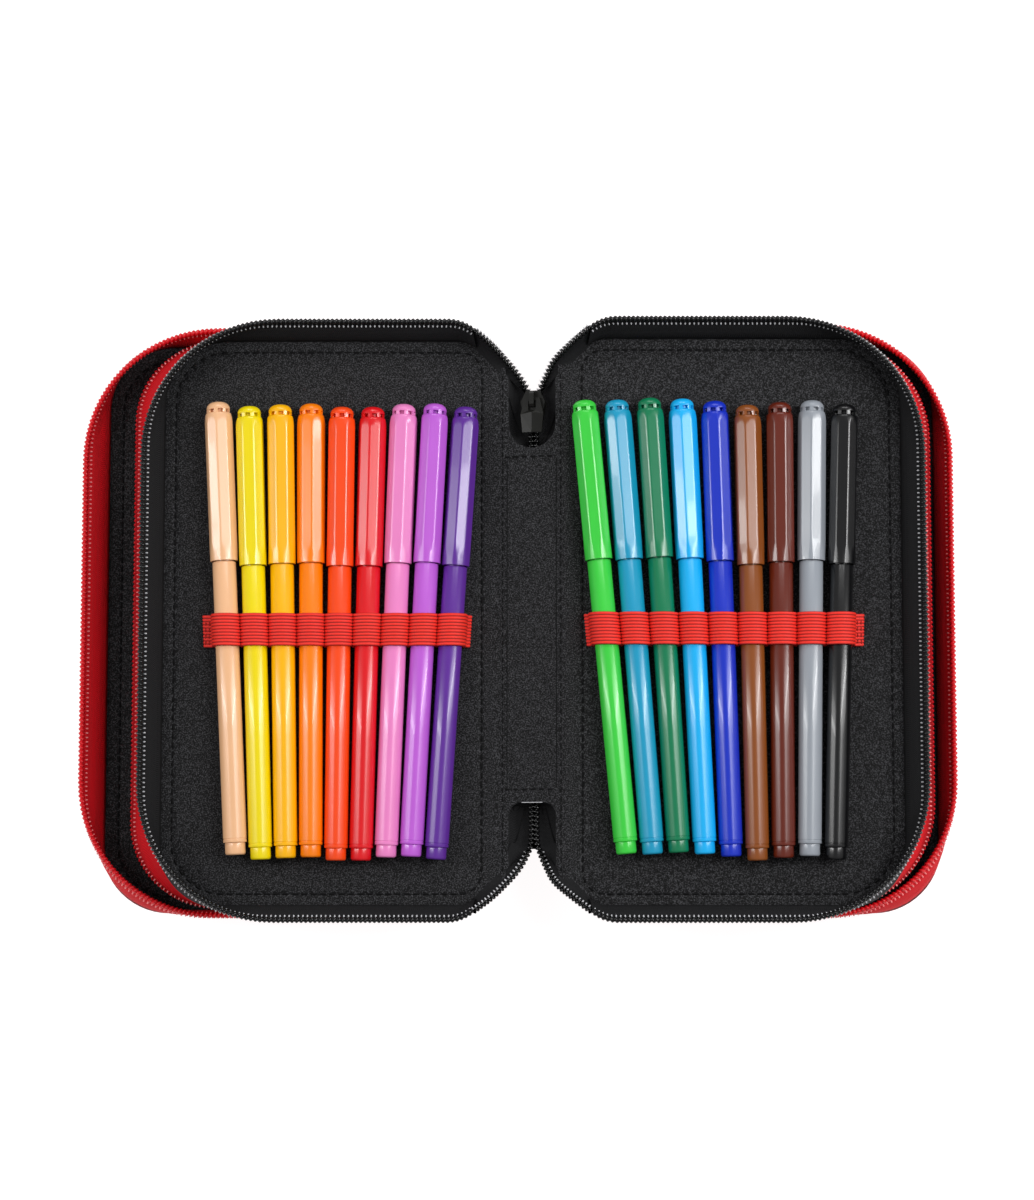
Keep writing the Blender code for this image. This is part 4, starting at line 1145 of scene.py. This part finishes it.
def outer_chain(name, half):
    """The joined red coils on an outer strip, with the tape beside each."""
    route = (
        (CHAIN_HALF, 59.0, OUTER_CHAIN_Z), (CHAIN_HALF, 66.0, OUTER_CHAIN_Z),
        (2.4, 72.0, OUTER_CHAIN_Z), (4.2, 78.0, 2.7), (6.2, 84.0, 2.2),
    )
    for label, lane in (("left", -1), ("right", 1)):
        path = smooth_path([(lane * x, -y, z) for x, y, z in route], 10)
        points, uvs = [], []
        for x, y, z in path:
            for column in range(END_TAPE_COLUMNS):
                drop = (1 - column / (END_TAPE_COLUMNS - 1)) ** 1.5
                points.append((x + lane * column * 0.7, y, 0.72 + (z - 1.6) * drop))
                uvs.append((y, column * 0.9))
        wound = helix(path, sideways_of(path, lane), UP, 0.72, 0.42)
        tape = (points, grid_faces(len(path), END_TAPE_COLUMNS))
        for kind, shape, look, spread in (
            ("chain", wound, RED_NYLON, None), ("end_tape", tape, RED_TWILL, uvs)
        ):
            add_piece(
                f"outer_zip_{name}_{kind}_{label}", shape, half["strip"], (look, "red_zip"),
                f"{name}_spine", f"spine_{name}", uvs=spread,
            )


def outer_zip_end(name, half, page, label, toward):
    """The gusset from a spine strip to one red half zip: a coil over a web of tape."""
    strip, at_top = half["strip"], toward > 0
    if page == "leaf":
        lane, flare = half["side"], 1.5 if at_top else -0.5
        foot_end = ((3.0, 90.2, -3.0), (13.3, 95.4, -3.1))
        rim_end = ((7.0, 93.6, -12.4), (13.2, 95.7 + flare, -14.0))
    else:
        lane, flare = -half["side"], half["cover_flares"][1 if at_top else 2]
        foot_end = ((0.6, 93.5, 1.2), (2.8, 97.0, 1.35))
        rim_end = ((1.6, 94.6, 8.8), (2.8, 97.0 + flare, 12.0))
    foot_start = ((9.6, 80.0, 0.2), (11.2, 84.5, 0.1))
    rim_start = ((5.6, 82.0, 2.3), (7.4, 87.4, 1.4))
    if at_top:
        rim_start = ((3.6, 88.6, 1.1), (5.8, 91.2, 1.3))
    foot = bridge(strip, lane, foot_start, half[page], foot_end, toward)
    rim = bridge(strip, lane, rim_start, half[page], rim_end, toward)
    points, uvs = [], []
    for index, (low, high) in enumerate(zip(foot, rim)):
        for column in range(GUSSET_COLUMNS):
            points.append(low + (high - low) * column / (GUSSET_COLUMNS - 1))
            uvs.append((index * 0.6, column * 2.0))
    node = f"outer_zip_{name}_{page}_side"
    faces = grid_faces(len(rim), GUSSET_COLUMNS)
    web = new_object(f"{node}_{label}_web", points, faces, RED_TWILL, uvs)
    across = [(high - low) / max(np.linalg.norm(high - low), 0.1) for low, high in zip(foot, rim)]
    along = unit(np.gradient(np.array(rim), axis=0))
    wound = helix(rim, np.cross(along, across), across, 0.64, 0.5)
    coil = new_object(f"{node}_{label}_coil", *wound, RED_NYLON)
    blend_all(
        (web, coil), node,
    )


for label, toward, parting in (("top", 1, 67.75), ("bottom", -1, 73.0)):
    zip_end(label, toward, parting)
    tray(label, toward)
for name, half in HALVES.items():
    outer_chain(name, half)
for name, half in HALVES.items():
    for page in ("leaf", "cover"):
        for label, toward in (("top", 1), ("bottom", -1)):
            outer_zip_end(name, half, page, label, toward)
print("zip ends done")

# %% [markdown]
# Sliders and tabs
#
# Their solids already have the right shape, so they stay. A small bevel takes the hard edge off,
# as tumbling does to a die casting, and black enamel goes over it.

# %% Sliders and pull tabs
castings = [node for node in frame["nodes"] if "slider" in node or "pull_tab" in node]
for node in castings:
    piece = frame["nodes"][node]
    bevel = piece.modifiers.new("tumbled edge", "BEVEL")
    bevel.width = 0.22 * MM
    bevel.segments = 3
    bevel.limit_method = "ANGLE"
    bevel.angle_limit = math.radians(25)
    piece.data.materials.clear()
    piece.data.materials.append(ZINC_ENAMEL)
print("enamelled", len(castings), "castings")

# %% [markdown]
# Camera, floor and light
#
# The photograph looks almost straight down on a white table, from about a metre. A soft box hangs
# on each side with a narrow bright strip in front of it, which draws the long streak on the caps.
# A third box stands at the far side. The white floor still takes a soft shadow.

# %% Camera
AIM = Vector((-1.5, 6.7, 24.0)) * MM
DISTANCE = 1.0
ELEVATION = math.radians(84)


def aim_from(thing, place, aim):
    thing.location = place
    thing.rotation_euler = (Vector(aim) - Vector(place)).to_track_quat("-Z", "Y").to_euler()


lens = bpy.data.cameras.new("camera")
lens.lens = 104
lens.sensor_width = 36
lens.sensor_fit = "HORIZONTAL"
camera = link("camera", lens)
aim_from(camera, AIM + DISTANCE * Vector((0, -math.cos(ELEVATION), math.sin(ELEVATION))), AIM)
bpy.context.scene.camera = camera
print("camera at", [round(v, 3) for v in camera.location])

# %% Floor and world
FLOOR_HALF = 3.0
FLOOR_DROP = 0.4
WHITE = (1.0, 1.0, 1.0, 1.0)
floor_mesh = bpy.data.meshes.new("white_table")
corners = [(x * FLOOR_HALF, y * FLOOR_HALF, 0) for x, y in ((-1, -1), (1, -1), (1, 1), (-1, 1))]
floor_mesh.from_pydata(corners, [], [(0, 1, 2, 3)])
table = link("white_table", floor_mesh)
table.location.z = -FLOOR_DROP * MM
white, _, shader = new_material(
    "white_table_top", Roughness=0.9, Base_Color=linear("#8E8E8E"), Specular_IOR_Level=0.0,
    Emission_Color=WHITE, Emission_Strength=0.93,
)
floor_mesh.materials.append(white)

world = bpy.data.worlds.new("studio")
bpy.context.scene.world = world
world.use_nodes = True
backdrop = world.node_tree.nodes["Background"]
backdrop.inputs["Color"].default_value = WHITE
backdrop.inputs["Strength"].default_value = 0.32
print("floor and world ready")

# %% Lights
def soft_box(name, place, size, watts):
    light = bpy.data.lights.new(name, "AREA")
    light.shape = "RECTANGLE"
    light.size, light.size_y = size
    light.energy = watts
    aim_from(link(name, light), place, (0.0, 0.0, 0.02))


soft_box("right_box", (0.85, 0.25, 0.95), (0.45, 1.1), 6.5)
soft_box("right_strip", (0.84, 0.25, 0.96), (0.07, 1.1), 5.0)
soft_box("left_box", (-1.05, 0.15, 0.8), (0.3, 1.1), 3.5)
soft_box("left_strip", (-1.04, 0.15, 0.81), (0.06, 1.1), 3.2)
soft_box("far_box", (0.1, 1.1, 0.9), (1.0, 0.3), 4.0)
scene = bpy.context.scene
scene.view_settings.view_transform = "Standard"
scene.view_settings.look = "None"
print(len(bpy.data.lights), "boxes and strips")
